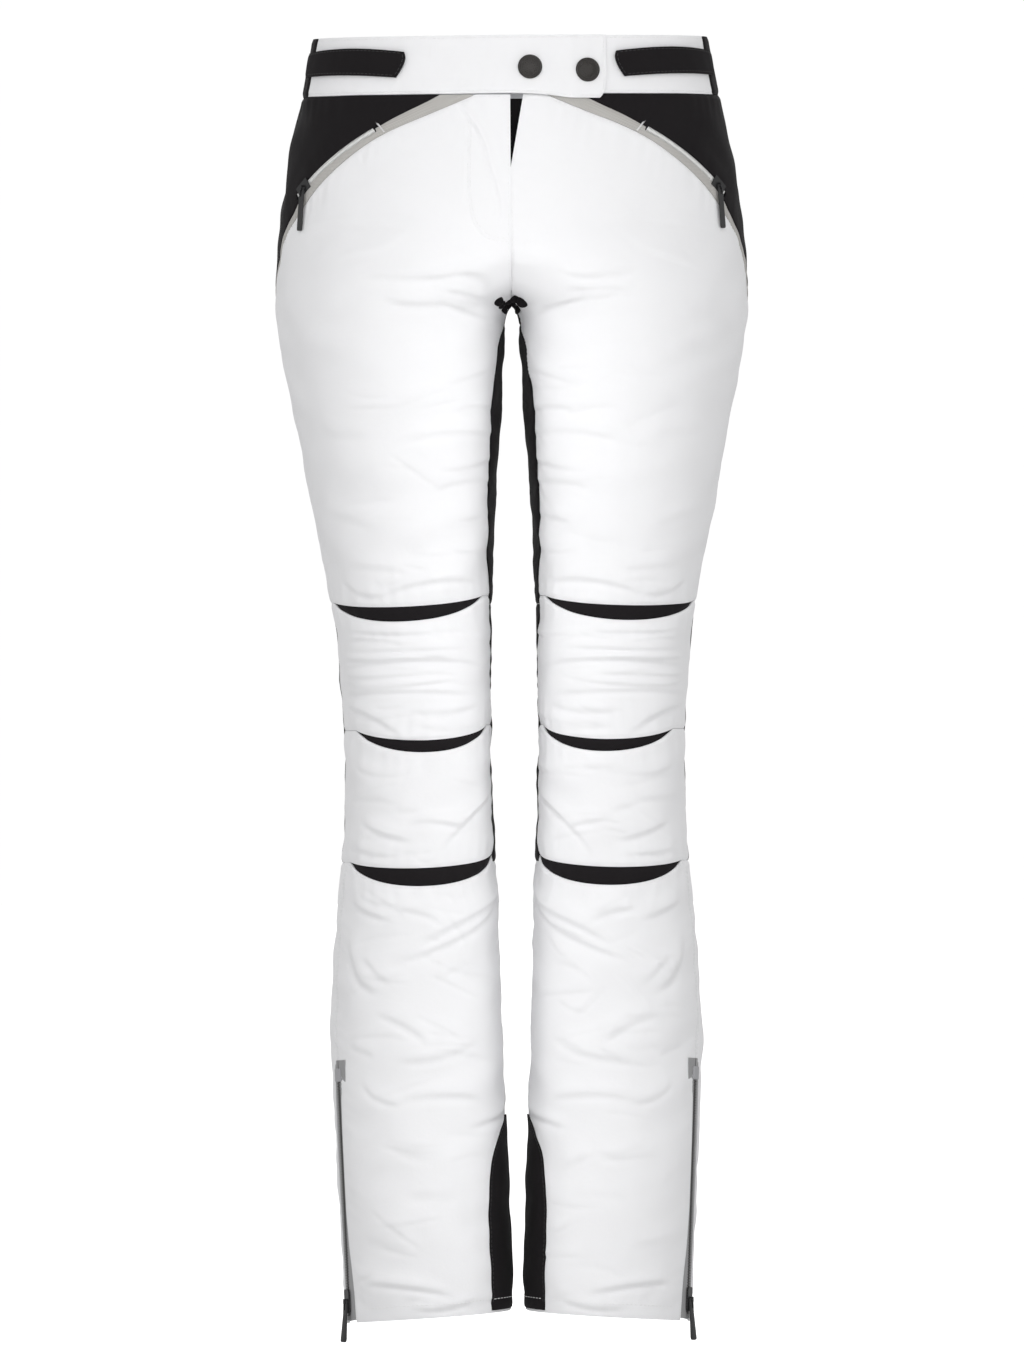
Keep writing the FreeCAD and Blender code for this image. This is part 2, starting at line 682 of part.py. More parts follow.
def make_gaiters():
    """A cuff inside each leg, closed by a slit with a snap strip behind the zip."""
    save_pair(panel(flat(ZIP_ANGLE), flat(ZIP_ANGLE + 360), flat(GAITER_TOP_Z), flat(GAITER_BOTTOM_Z),
                    48, 6, GAITER_DEPTH, GAITER_FABRIC), "gaiter")


def report(name, vector):
    print(name, tuple(round(v, 4) for v in vector))


# Upper panels ---------------------------------------------------------------------------------------
BAG_TOP, BAG_BOTTOM = 22.0, 150.0
BAG_DEPTH, BAG_FABRIC = 4.5, 1.6


def make_hips():
    channel = pocket_arc().sweep(CHANNEL_HALF, CHANNEL_DEEP, -CHANNEL_DEEP, -0.06, 1.34)
    hip = panel(flat(-60.0), flat(YOKE), flat(BAND_SEAM_Z), HIP_LINE, 50, 44)
    save_pair(hip.cut(channel), "hip_panel")
    save_pair(half(panel(flat(YOKE), back_edge, flat(BAND_SEAM_Z), HIP_LINE, 26, 44)), "seat_panel")
    strip = panel(flat(-73.0), flat(SIDE), lambda a: min(HIP_LINE(a), BAND_SEAM_Z), STRIP_LINE, 40, 3)
    strip = strip.cut(channel)
    save(Part.makeCompound([strip, mirrored(strip)]), "hip_contrast_strips")
    bag = panel(flat(-62.0), flat(-20.0), lambda a: HIP_LINE(a) - BAG_TOP, lambda a: HIP_LINE(a) - BAG_BOTTOM,
                16, 22, BAG_DEPTH, BAG_FABRIC)
    save_pair(bag, "pocket_bag")


def make_thighs():
    left = panel(lambda z: front_edge(z, fly_edge_x(z)), flat(SIDE), STRIP_LINE, DARTS[0].top, 48, 64)
    save(half(left), "front_thigh_left")
    right = mirrored(half(panel(front_edge, flat(SIDE), STRIP_LINE, DARTS[0].top, 48, 64)))
    save(right, "front_thigh_right")
    save_pair(panel(flat(SIDE), BACK_INNER, HIP_LINE, flat(KNEE_TOP_Z), 40, 30), "back_thigh")
    save_pair(panel(BACK_INNER, inner_from_back, flat(GUSSET_Z), flat(KNEE_TOP_Z), 7, 18),
              "inner_thigh")


GUSSET_GAP = 0.4
GUSSET_REACH = 14.0


def crossing_height(angle):
    """The height at which the leg tube meets the middle plane, at this angle."""
    high, low = CROTCH_Z + GUSSET_REACH, GUSSET_Z + GUSSET_GAP
    for _ in range(40):
        middle = (high + low) / 2
        if on_leg(angle, middle).x < 0:
            high = middle
        else:
            low = middle
    return high


def gusset_inward(point):
    """From the gusset's outer face to its inner one: up at the crotch, and into each leg beside it."""
    if point.x == 0:
        return Vector(0, 0, FABRIC)
    return Vector(math.copysign(FABRIC * 0.7, point.x), 0, FABRIC * 0.4)


def make_gusset():
    """A saddle over the crotch: each row crosses from one leg's inner face to the other's."""
    outer = []
    rows = 13
    clear = 0.3
    first, last = BACK_INNER(GUSSET_Z) + clear, 360 + FRONT_INNER(GUSSET_Z) - clear
    shares = (1.0, 0.75, 0.5, 0.25)
    for r in range(rows):
        angle = first + (last - first) * r / (rows - 1)
        apex_z = crossing_height(angle)
        side = [on_leg(angle, apex_z + (GUSSET_Z + GUSSET_GAP - apex_z) * share) for share in shares]
        apex = Vector(0, on_leg(angle, apex_z).y, apex_z)
        outer.append([Vector(-p.x, p.y, p.z) for p in side] + [apex] + side[::-1])
    inner = [[p + gusset_inward(p) for p in row] for row in outer]
    save(solid_between(outer, inner), "crotch_gusset")


# Lower panels ---------------------------------------------------------------------------------------
ZIP_ANGLE = -31.5
ZIP_TOP_ANGLE = -30.0
SEAM_DRIFT = smooth([(-810, 0.0), (-775, 7.5)])
ZIP_TOP_Z = -812.0
ZIP_HALF = 7.4
ZIP_SPREAD = smooth([(ZIP_TOP_Z - 1, 1.0), (ZIP_TOP_Z + 6, 0.0)])


def zip_angle(z):
    """Where the leg zip lies, and the seam that leads down to it."""
    share = (z - LEG_ZIP_END_Z) / (LEG_ZIP_START_Z - LEG_ZIP_END_Z)
    return ZIP_ANGLE + (ZIP_TOP_ANGLE - ZIP_ANGLE) * min(1.0, max(0.0, share)) + SEAM_DRIFT(z)


def zip_edge(z, side):
    """The panel edge beside the leg zip, on the front (-1) or back (+1) of it."""
    radius = 68.0
    return zip_angle(z) + side * math.degrees(ZIP_HALF / radius) * ZIP_SPREAD(z)


def make_legs():
    save_pair(panel(FRONT_INNER, flat(SIDE), DARTS[0].bottom, DARTS[1].top, 40, 8), "knee_panel_upper")
    save_pair(panel(FRONT_INNER, flat(SIDE), DARTS[1].bottom, DARTS[2].top, 40, 8), "knee_panel_lower")
    upper = DARTS[0].solid()
    save(Part.makeCompound([upper, mirrored(upper)]), "upper_knee_darts")
    save_pair(Part.makeCompound([DARTS[1].solid(), DARTS[2].solid()]), "lower_knee_darts")
    save_pair(panel(flat(SIDE), inner_from_back, flat(KNEE_TOP_Z), flat(KNEE_BOTTOM_Z), 20, 14), "knee_back")
    save_pair(panel(FRONT_INNER, lambda z: zip_edge(z, -1), DARTS[2].bottom, hem, 30, 60), "shin_front")
    save_pair(panel(lambda z: zip_edge(z, 1), inner_from_back,
                    lambda a: DARTS[2].bottom(a) if a < SIDE else KNEE_BOTTOM_Z, hem, 60, 60),
              "calf_back")
    patch_edge = smooth([(-848, -172), (-862, -153), (-890, -139), (-925, -134), (-1005, -132)])
    patch = panel(lambda z: -360 - patch_edge(z) - 4, patch_edge, flat(-850), lambda a: hem(a) + 2, 24, 40,
                  -1.7, 1.3)
    save_pair(patch, "kick_patch")


for step in (make_waist, make_straps, make_hips, make_thighs, make_gusset, make_legs, make_pocket_zips,
             make_fly, make_leg_zips, make_gaiters):
    step()
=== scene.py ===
"""Women's ski pants: fabric, stitching, zips and snaps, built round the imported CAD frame, in metres."""
import json
import math
import bpy
import numpy as np
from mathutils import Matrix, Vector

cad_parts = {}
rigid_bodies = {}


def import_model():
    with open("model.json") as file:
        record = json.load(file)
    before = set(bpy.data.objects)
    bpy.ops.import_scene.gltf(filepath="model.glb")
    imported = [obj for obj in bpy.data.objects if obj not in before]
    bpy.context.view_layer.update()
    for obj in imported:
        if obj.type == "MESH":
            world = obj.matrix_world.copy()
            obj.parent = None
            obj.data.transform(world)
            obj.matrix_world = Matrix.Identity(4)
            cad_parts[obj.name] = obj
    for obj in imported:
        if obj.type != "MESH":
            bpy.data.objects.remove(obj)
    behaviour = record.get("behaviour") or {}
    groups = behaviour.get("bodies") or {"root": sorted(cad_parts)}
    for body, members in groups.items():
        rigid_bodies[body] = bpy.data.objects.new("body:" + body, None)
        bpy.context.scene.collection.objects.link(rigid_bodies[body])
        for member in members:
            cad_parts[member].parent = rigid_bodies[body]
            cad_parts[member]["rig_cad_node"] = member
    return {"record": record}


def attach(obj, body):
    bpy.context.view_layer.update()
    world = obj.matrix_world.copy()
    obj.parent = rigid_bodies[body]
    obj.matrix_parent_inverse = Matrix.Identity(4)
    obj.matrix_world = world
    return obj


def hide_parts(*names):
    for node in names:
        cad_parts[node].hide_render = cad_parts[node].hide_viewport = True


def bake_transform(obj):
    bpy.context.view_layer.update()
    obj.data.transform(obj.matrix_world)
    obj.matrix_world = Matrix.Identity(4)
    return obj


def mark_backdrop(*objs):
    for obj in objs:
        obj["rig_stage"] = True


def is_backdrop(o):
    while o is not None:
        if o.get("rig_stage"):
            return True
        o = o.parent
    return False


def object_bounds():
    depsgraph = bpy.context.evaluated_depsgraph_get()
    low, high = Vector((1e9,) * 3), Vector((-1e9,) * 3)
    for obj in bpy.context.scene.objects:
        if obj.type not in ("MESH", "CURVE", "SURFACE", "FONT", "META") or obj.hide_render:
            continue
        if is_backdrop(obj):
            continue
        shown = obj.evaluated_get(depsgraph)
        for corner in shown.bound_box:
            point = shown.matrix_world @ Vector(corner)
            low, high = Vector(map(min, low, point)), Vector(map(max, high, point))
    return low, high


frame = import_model()
cad_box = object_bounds()
MM = 0.001
LEFT, RIGHT = 1, -1
SIDE_NAMES = {LEFT: "left", RIGHT: "right"}
RANDOM_SEED = 7

# The wearer's left leg, in millimetres: height, outer side, inner side, front, back.
SECTIONS = [
    (0, 156, -156, -100, 108), (-47, 165, -165, -106, 116), (-105, 177, -177, -111, 129),
    (-140, 182, -182, -112, 135), (-165, 184.5, -120, -112, 136), (-185, 185.5, -62, -110.5, 134),
    (-200, 186, -20, -109, 131), (-210, 186.3, 0.5, -108, 128), (-218, 186, 4.5, -107, 124),
    (-231, 185, 6.3, -105.5, 118), (-262, 179.5, 7.8, -102.5, 106), (-310, 170, 10, -97.5, 93),
    (-389, 155, 15.4, -88.5, 77), (-452, 143, 17.5, -81, 66), (-515, 136.3, 18.3, -75, 58),
    (-562, 134.2, 18.5, -71, 55), (-610, 134.3, 17, -66, 58), (-680, 140, 14.2, -63, 69),
    (-720, 143.6, 13.2, -63, 73), (-768, 146, 11.7, -65, 76), (-815, 147.5, 10.3, -67, 78),
    (-850, 146.8, 9.4, -69, 79.5), (-900, 144.6, 8, -72, 81), (-957, 141.5, 6.2, -76, 83),
    (-1020, 138.5, 4.5, -79.5, 85.5),
]
ROUNDNESS = 2.25


# Curves and the leg surface -------------------------------------------------------------------------
def smooth(points):
    """A monotone cubic through (x, y) points, flat past its ends, as a function of an array."""
    xs, ys = np.array(sorted(points), float).T
    step = np.diff(xs)
    rise = np.diff(ys) / step
    slope = np.concatenate(([rise[0]], np.zeros(len(xs) - 2), [rise[-1]]))
    for i in range(1, len(xs) - 1):
        if rise[i - 1] * rise[i] > 0:
            w1, w2 = 2 * step[i] + step[i - 1], step[i] + 2 * step[i - 1]
            slope[i] = (w1 + w2) / (w1 / rise[i - 1] + w2 / rise[i])

    def value(x):
        x = np.clip(x, xs[0], xs[-1])
        i = np.clip(np.searchsorted(xs, x, side="right") - 1, 0, len(xs) - 2)
        t = (x - xs[i]) / step[i]
        start = ys[i] * (1 + 2 * t) * (1 - t) ** 2 + step[i] * slope[i] * t * (1 - t) ** 2
        return start + ys[i + 1] * t * t * (3 - 2 * t) + step[i] * slope[i + 1] * t * t * (t - 1)

    return value


def seam(points):
    """A seam line given in degrees over millimetres of height, as a function of metres."""
    line = smooth(points)
    return lambda z: line(z / MM)


def height(points):
    """An edge given in millimetres of height over degrees, as a function that gives metres."""
    line = smooth(points)
    return lambda angle: line(angle) * MM


def flat(value):
    return lambda x: np.zeros_like(np.asarray(x, float)) + value


LEVELS = np.arange(-1050.0, 30.0, 1.0)
SOFTEN_MM = 5.0
KERNEL = np.exp(-0.5 * (np.arange(-20, 21) / SOFTEN_MM) ** 2)
KERNEL = KERNEL / KERNEL.sum()


def softened(column):
    values = smooth([(row[0], row[column]) for row in SECTIONS])(LEVELS)
    return np.convolve(np.pad(values, 20, mode="edge"), KERNEL, "valid")


PROFILE = [softened(column) for column in (1, 2, 3, 4)]


def leg(angle, z):
    """Points of the wearer's left leg tube at arrays of angles (degrees) and heights (metres)."""
    outer, inner, front, back = [np.interp(z / MM, LEVELS, values) * MM for values in PROFILE]
    cx, half_x, cy, half_y = (outer + inner) / 2, (outer - inner) / 2, (front + back) / 2, (back - front) / 2
    c, s = np.cos(np.radians(angle)), np.sin(np.radians(angle))
    reach = (np.abs(c / half_x) ** ROUNDNESS + np.abs(s / half_y) ** ROUNDNESS) ** (-1 / ROUNDNESS)
    return np.stack([cx + reach * c, cy + reach * s, np.broadcast_to(z, reach.shape)], -1)


def unit(vectors):
    return vectors / np.maximum(np.linalg.norm(vectors, axis=-1, keepdims=True), 1e-12)


def outward(angle, z):
    around = leg(angle + 0.5, z) - leg(angle - 0.5, z)
    down = leg(angle, z - MM) - leg(angle, z + MM)
    return unit(np.cross(down, around))


def angle_at(x, z, low, high):
    """Angles between low and high where the surface has this x."""
    x, z = np.broadcast_arrays(np.asarray(x, float), np.asarray(z, float))
    low, high = np.full(z.shape, float(low)), np.full(z.shape, float(high))
    rising = leg(high, z)[..., 0] > leg(low, z)[..., 0]
    for _ in range(36):
        middle = (low + high) / 2
        below = (leg(middle, z)[..., 0] < x) == rising
        low, high = np.where(below, middle, low), np.where(below, high, middle)
    return (low + high) / 2


def front_angle(x, z):
    return angle_at(x, z, -180, 0)


# Seams ----------------------------------------------------------------------------------------------
BAND_HEIGHT = 0.046
BAND_SEAM = -0.0462
CROTCH = -0.206
LEGS_PART = CROTCH - 0.012
KNEE_TOP = -0.447
KNEE_BOTTOM = -0.6501
GUSSET = -0.226
SIDE = -2.0
YOKE = 50.0
INSERT_FRONT, INSERT_BACK = -11.0, 42.0
BACK_INNER = seam([(-225, 165), (-365, 160), (-447, 168)])
FRONT_INNER = seam([(-206, -168), (-228, -168), (-237, -160), (-246, -155.5), (-256, -155), (-278, -149),
                    (-294, -147.5), (-365, -148), (-412, -155), (-447, -160), (-505, -176), (-560, -176),
                    (-605, -168), (-650, -162), (-700, -172)])
HIP_LINE = height([(-62.4, -46.6), (-42.9, -70.9), (-22.9, -110.6), (-12.5, -152), (0, -205), (15, -222),
                   (50, -240), (90, -262), (130, -283), (165, -292)])
STRIP_LINE = height([(-76, -46.6), (-58.5, -62.4), (-43.7, -78.4), (-31.3, -102), (-18, -140.5), (-8, -189),
                     (0, -220)])
FLY_GAPE = 0.011
FLY_TUCK = 0.001
FLY_GAPE_END = -0.108
HEM, HEM_SLANT = -1.009, 0.005
ZIP_TOP, ZIP_END = -0.823, -1.009
ZIP_ANGLE, ZIP_TOP_ANGLE = -31.5, -30.0
SEAM_DRIFT = seam([(-810, 0.0), (-775, 7.5)])
ZIP_HALF = 7.4
ZIP_RADIUS = 68.0
ZIP_SPREAD = seam([(-813, 1.0), (-806, 0.0)])


def hem(angle):
    return HEM - HEM_SLANT * np.cos(np.radians(angle))


def front_edge(gape):
    """The front panel's inner edge, which stands back from the middle by gape at the waistband."""
    def edge(z):
        share = np.clip((z - FLY_GAPE_END) / (BAND_SEAM - FLY_GAPE_END), 0, 1)
        back = gape * share - (FLY_TUCK if gape else 0)
        above = np.maximum(front_angle(back, np.maximum(z, LEGS_PART)), FRONT_INNER(z))
        return np.where(z <= LEGS_PART, FRONT_INNER(z), above)
    return edge


def back_edge(z):
    above = np.minimum(angle_at(0, np.maximum(z, LEGS_PART), 0, 180), BACK_INNER(z))
    return np.where(z <= LEGS_PART, BACK_INNER(z), above)


def inner_from_back(z):
    return 360 + FRONT_INNER(z)


def zip_angle(z):
    """Where the leg zip lies, and the seam that leads down to it."""
    share = np.clip((z - ZIP_END) / (ZIP_TOP - ZIP_END), 0, 1)
    return ZIP_ANGLE + (ZIP_TOP_ANGLE - ZIP_ANGLE) * share + SEAM_DRIFT(z)


def zip_edge(side):
    """The panel edge beside the leg zip. The front one covers its tape down to where the cuff opens."""
    half = seam([(-1009, 11.5), (-985, 10.0), (-950, 5.2), (-925, 3.4)]) if side < 0 else flat(ZIP_HALF)
    return lambda z: zip_angle(z) + side * np.degrees(half(z) / ZIP_RADIUS) * ZIP_SPREAD(z)


class Dart:
    """A crescent insert across the knee, in degrees and millimetres."""

    def __init__(self, middle, reach, top, tip_rise, depth, tilt):
        self.middle, self.reach, self.depth = middle, reach, depth * MM
        self.high, self.rise, self.tilt = top * MM, tip_rise * MM, tilt * MM

    def across(self, angle):
        return np.minimum(1.0, np.abs(angle - self.middle) / self.reach)

    def top(self, angle):
        inward = np.clip((self.middle - angle) / self.reach, -1, 1)
        return self.high + self.rise * self.across(angle) ** 2 + self.tilt * inward

    def bottom(self, angle):
        return self.top(angle) - self.depth * (1 - self.across(angle) ** 2.2)


DARTS = [Dart(-84, 62, -449, 6, 11.5, 2.4), Dart(-97, 60, -554, 9.8, 9.5, 2.0),
         Dart(-96.5, 68, -654.5, 7.8, 14.2, 3.2)]


# Folds ----------------------------------------------------------------------------------------------
FRONT, BACK = -90.0, 90.0
# Each fold runs from one point of the front to another: distance from the middle and height of both ends,
# the ridge's half width, its height, and how far it bows, all in millimetres.
HIP_FOLDS = {
    RIGHT: [
        (86, -81, 46, -80, 8, 0.7, 2), (156, -147, 64, -147, 7, 1.0, -3), (112, -185, 38, -185, 6, 1.8, 4),
        (40, -185, 12, -199, 5, 1.6, -2), (94, -200, 50, -209, 6, 1.6, 3), (52, -208, 12, -220, 5, 1.6, 2),
        (50, -198, 18, -205, 3.5, 1.3, 1), (130, -170, 90, -163, 8, 0.8, 0),
        (38, -54, 15, -106, 3.0, 1.5, -3), (15, -98, 14, -150, 3.2, 1.1, 0),
    ],
    LEFT: [
        (64, -143, 150, -143, 7, 1.0, 3), (36, -184, 96, -182, 6, 1.8, -3), (38, -197, 90, -199, 5, 1.5, 2),
        (17, -217, 58, -203, 5, 1.6, 2), (56, -203, 90, -200, 5, 1.2, 0), (100, -168, 140, -176, 8, 0.8, 0),
    ],
}
LEG_FOLDS = [
    # thigh, from the inner seam
    (16, -262, 52, -270, 5, 0.9, 2), (17, -290, 48, -294, 4.5, 1.2, 2), (17, -309, 88, -318, 5.5, 1.5, 4),
    (18, -332, 56, -338, 4.5, 1.2, -2), (18, -347, 62, -356, 5, 1.1, 3), (19, -374, 44, -380, 4.5, 0.9, 2),
    (20, -398, 50, -404, 4.5, 0.8, -2), (150, -300, 112, -312, 9, 0.8, 3),
    (150, -372, 108, -380, 8, 0.8, -3),
    # above the upper dart
    (134, -428, 103, -437, 5, 1.6, 2), (104, -437, 26, -428, 5, 1.5, -5), (128, -412, 84, -418, 6, 0.9, 2),
    # upper knee panel
    (130, -467, 62, -466, 3.6, 1.5, 2), (128, -474, 88, -476, 3.2, 1.2, -1),
    (130, -481, 40, -479, 3.8, 1.7, 2), (131, -488, 76, -489, 3.2, 1.4, 1),
    (130, -494, 30, -492, 3.8, 1.6, -3), (131, -501, 66, -501, 3.4, 1.6, 1),
    (130, -508, 48, -506, 3.6, 1.4, 2), (131, -517, 34, -514, 4.2, 1.7, -2),
    (131, -525, 90, -547, 5, 2.0, -3), (84, -528, 30, -524, 5, 1.1, 2), (76, -541, 28, -538, 5, 0.9, 2),
    # lower knee panel
    (124, -572, 88, -578, 5, 0.9, 2), (128, -596, 96, -601, 5, 0.9, -2), (120, -618, 80, -629, 5, 1.8, 3),
    (82, -618, 43, -619, 4.5, 1.6, -2), (20, -592, 60, -641, 5, 1.8, 5), (126, -634, 92, -643, 4.5, 1.1, 2),
    # shin
    (12, -669, 76, -713, 6, 2.6, 6), (15, -677, 93, -724, 5.5, 2.0, -4), (128, -681, 100, -691, 5, 1.6, 2),
    (92, -683, 58, -697, 5, 1.6, -2), (131, -711, 106, -750, 7, 1.8, 5), (120, -724, 96, -742, 6, 1.2, 0),
    (30, -728, 62, -738, 6, 0.9, 3), (108, -767, 68, -788, 6.5, 1.8, -4), (92, -806, 33, -785, 6, 1.5, 5),
    (120, -823, 92, -839, 5, 1.5, 2), (92, -837, 30, -831, 6, 1.7, -4), (37, -857, 10, -841, 5, 1.6, 2),
    (128, -790, 112, -802, 6, 1.0, 0), (104, -868, 60, -874, 8, 0.8, 3), (90, -912, 46, -905, 9, 0.7, -3),
    (120, -940, 84, -951, 8, 0.7, 3), (118, -981, 56, -987, 4.5, 1.9, -3), (84, -998, 34, -994, 4, 1.3, 3),
]
# Folds that go round the back: angle and height of both ends, then as above.
BACK_FOLDS = [
    (60, -262, 150, -300, 9, 1.5, 6), (40, -300, 120, -322, 9, 1.0, -5), (30, -420, 140, -428, 7, 1.4, 3),
    (20, -470, 150, -474, 6, 1.8, 3), (40, -490, 160, -496, 5, 1.8, -3), (15, -512, 120, -515, 5, 2.0, 2),
    (50, -534, 165, -531, 6, 2.0, 3), (20, -556, 140, -560, 5, 2.0, -2), (40, -582, 160, -578, 6, 1.8, 3),
    (25, -606, 130, -612, 6, 1.8, -4), (60, -634, 150, -629, 6, 1.4, 2), (20, -680, 110, -705, 8, 1.6, 5),
    (80, -730, 160, -716, 8, 1.2, -4), (30, -768, 130, -784, 9, 1.3, 5), (60, -840, 150, -828, 9, 1.1, -4),
    (20, -890, 110, -905, 9, 0.9, 5), (50, -960, 150, -968, 8, 0.9, 3), (70, -990, 120, -993, 5, 1.2, 2),
    (70, -205, 130, -222, 9, 1.2, 4), (60, -150, 100, -168, 12, 0.9, 4),
]
MEAN_RADIUS = smooth([(row[0], (row[1] - max(row[2], 0) + row[4] - row[3]) / 4) for row in SECTIONS])


def round_leg(angle, z, middle):
    """Distance round the leg from the middle of its front or back, in millimetres."""
    return np.radians((angle - middle + 180.0) % 360.0 - 180.0) * MEAN_RADIUS(z / MM)


FOLD_SWAY, FOLD_HOLLOW = 0.3, 0.6


def one_fold(u, v, start, end, width, rise, bow):
    """A rounded ridge along a bowed line, with a shallower hollow beside it, fading at both ends."""
    along = np.subtract(end, start)
    length = float(np.hypot(*along))
    along = along / length
    du, dv = u - start[0], v - start[1]
    share = (du * along[0] + dv * along[1]) / length
    off = -du * along[1] + dv * along[0] - bow * 4 * share * (1 - share)
    off = off - FOLD_SWAY * width * np.sin(3.4 * share + start[1])
    off = off * (1 if along[0] > 0 else -1)
    taper = np.exp(-np.abs((2 * share - 1) / 0.92) ** 5) * (1 + 0.2 * np.sin(5.1 * share + end[1]))
    ridge = np.exp(-(np.maximum(off, 0) / (1.5 * width)) ** 2 - (np.minimum(off, 0) / (0.55 * width)) ** 2)
    hollow = np.exp(-((off + 0.95 * width) / (0.5 * width)) ** 2)
    return rise * taper * (ridge - FOLD_HOLLOW * hollow)


def small_creases():
    """Short fine creases, thickest where the garment bends, as entries like the lists above."""
    creases = []
    for low, high, count, slant, rise in CREASE_FIELDS:
        for _ in range(count):
            x, z = crease_rng.uniform(18, 130), crease_rng.uniform(low, high)
            length, turn = crease_rng.uniform(18, 50), math.radians(slant * crease_rng.normal())
            dx, dz = length / 2 * math.cos(turn), length / 2 * math.sin(turn)
            x = min(max(x, 16 + dx), 132 - dx)
            creases.append((x - dx, z - dz, x + dx, z + dz, crease_rng.uniform(3.0, 5.5),
                            rise * crease_rng.uniform(0.6, 1.3), crease_rng.uniform(-2, 2)))
    return creases


def fold_starts(side):
    """Every fold as the middle it is measured from, both ends round the leg and in height, and its shape."""
    for x0, z0, x1, z1, width, rise, bow in HIP_FOLDS[side] + LEG_FOLDS + small_creases():
        ends = [(float(round_leg(front_angle(x * MM, z * MM), z * MM, FRONT)), z)
                for x, z in ((x0, z0), (x1, z1))]
        yield FRONT, *ends, width, rise, bow
    for a0, z0, a1, z1, width, rise, bow in BACK_FOLDS:
        ends = [(float(round_leg(a, z * MM, BACK)), z) for a, z in ((a0, z0), (a1, z1))]
        yield BACK, *ends, width, rise, bow


# Heights between which fine creases lie, how many, how far they slant, and their height in millimetres.
CREASE_FIELDS = [(-430, -250, 14, 12, 0.4), (-550, -462, 22, 6, 0.5), (-646, -568, 12, 20, 0.5),
                 (-800, -668, 20, 28, 0.6), (-1000, -800, 14, 18, 0.45)]
crease_rng = np.random.default_rng(RANDOM_SEED + 5)
FOLDS = {side: list(fold_starts(side)) for side in (LEFT, RIGHT)}
rng = np.random.default_rng(RANDOM_SEED)
WAVES = [(unit(rng.normal(size=3)) * (1, 1, 1.6) * 2 * math.pi / rng.uniform(0.026, 0.085),
          rng.uniform(0, 2 * math.pi), rng.uniform(0.5, 1.0)) for _ in range(26)]
WAVE_RISE = 0.19
DRAPE_LIMITS = (-3.2, 4.6)
J_LINE = np.array([(33, -67), (34, -100), (34, -125), (31, -145), (26, -154), (20, -159.5), (12, -162),
                   (1.5, -162.8)])
GROOVE_DEPTH, GROOVE_WIDTH = 0.55, 1.5
# How far the cloth is drawn in behind the leg zip, over degrees, and the heights where that holds.
CALF_DRAWN_IN = smooth([(-24, 0.0), (-10, 2.2), (10, 2.6), (40, 1.2), (75, 0)])
CUFF = smooth([(-1009, 1.0), (-840, 1.0), (-800, 0.0)])


def distance_to(line, places):
    """The least distance from places to a line of points."""
    nearest = np.full(places.shape[:-1], 1e3)
    for a, b in zip(line, line[1:]):
        share = np.clip((places - a) @ (b - a) / ((b - a) @ (b - a)), 0, 1)
        nearest = np.minimum(nearest, np.linalg.norm(places - a - share[..., None] * (b - a), axis=-1))
    return nearest


def drape(points, angle, z, side):
    """How far the cloth stands off the smooth leg, in metres: its folds and a slight unevenness."""
    around = {middle: round_leg(angle, z, middle) for middle in (FRONT, BACK)}
    total = np.zeros(points.shape[:-1])
    for middle, start, end, width, rise, bow in FOLDS[side]:
        total += one_fold(around[middle], z / MM, start, end, width, rise, bow)
    place = points * (side, 1, 1)
    for wave, phase, rise in WAVES:
        total += WAVE_RISE * rise * np.sin(place @ wave + phase)
    if side == RIGHT:
        off = distance_to(J_LINE, points[..., (0, 2)] / MM) / GROOVE_WIDTH
        total -= GROOVE_DEPTH * np.exp(-off ** 2) * (points[..., 1] < 0)
    behind = CALF_DRAWN_IN(angle) * CUFF(z / MM)
    return (np.clip(total, *DRAPE_LIMITS) * quiet(points) - behind) * MM


# Meshes ---------------------------------------------------------------------------------------------
EDGE_STEPS = np.array([0, 0.5, 1.1, 1.9, 3.0, 4.5])
GRID_STEP = 2.6
GAP = 0.12 * MM
PINCH = 0.95
# The least side of a sheet's flat size in metres, and the least share of it that its area may be.
LEAST_FLAT, LEAST_SHARE = 0.0101, 0.31
PINCH_WIDTH = 2.0
MOST_PINCH = 1.25
PUCKER = 0.32
PUCKER_REACH = 6.5
LEG_RADIUS = 0.08


def shares(length_mm, step=GRID_STEP):
    """Shares from 0 to 1 along a length, closer together near both ends."""
    if length_mm < 4 * EDGE_STEPS[-1]:
        return np.linspace(0, 1, max(5, int(length_mm / 0.8)))
    count = max(2, int((length_mm - 2 * EDGE_STEPS[-1]) / step))
    inner = np.linspace(EDGE_STEPS[-1], length_mm - EDGE_STEPS[-1], count + 1)[1:-1]
    return np.concatenate([EDGE_STEPS, inner, length_mm - EDGE_STEPS[::-1]]) / length_mm


def new_mesh(name, verts, faces, uvs=None, slots=None, smooth_angle=60):
    mesh = bpy.data.meshes.new(name)
    mesh.from_pydata([tuple(p) for p in np.asarray(verts, float).reshape(-1, 3)], [], faces)
    if uvs is not None:
        layer = mesh.uv_layers.new(name="cloth")
        corner = np.zeros(len(mesh.loops), np.int32)
        mesh.loops.foreach_get("vertex_index", corner)
        layer.data.foreach_set("uv", np.asarray(uvs, np.float32).reshape(-1, 2)[corner].ravel())
    if slots is not None:
        mesh.polygons.foreach_set("material_index", np.asarray(slots, np.int32))
    mesh.shade_smooth()
    mesh.set_sharp_from_angle(angle=math.radians(smooth_angle))
    mesh.update()
    piece = bpy.data.objects.new(name, mesh)
    bpy.context.scene.collection.objects.link(piece)
    return piece


def grid_faces(rows, columns, base=0, flip=False):
    a = base + (np.arange(rows - 1)[:, None] * columns + np.arange(columns - 1)[None, :]).ravel()
    quads = np.stack([a, a + 1, a + columns + 1, a + columns], 1)
    return (quads[:, ::-1] if flip else quads).tolist()


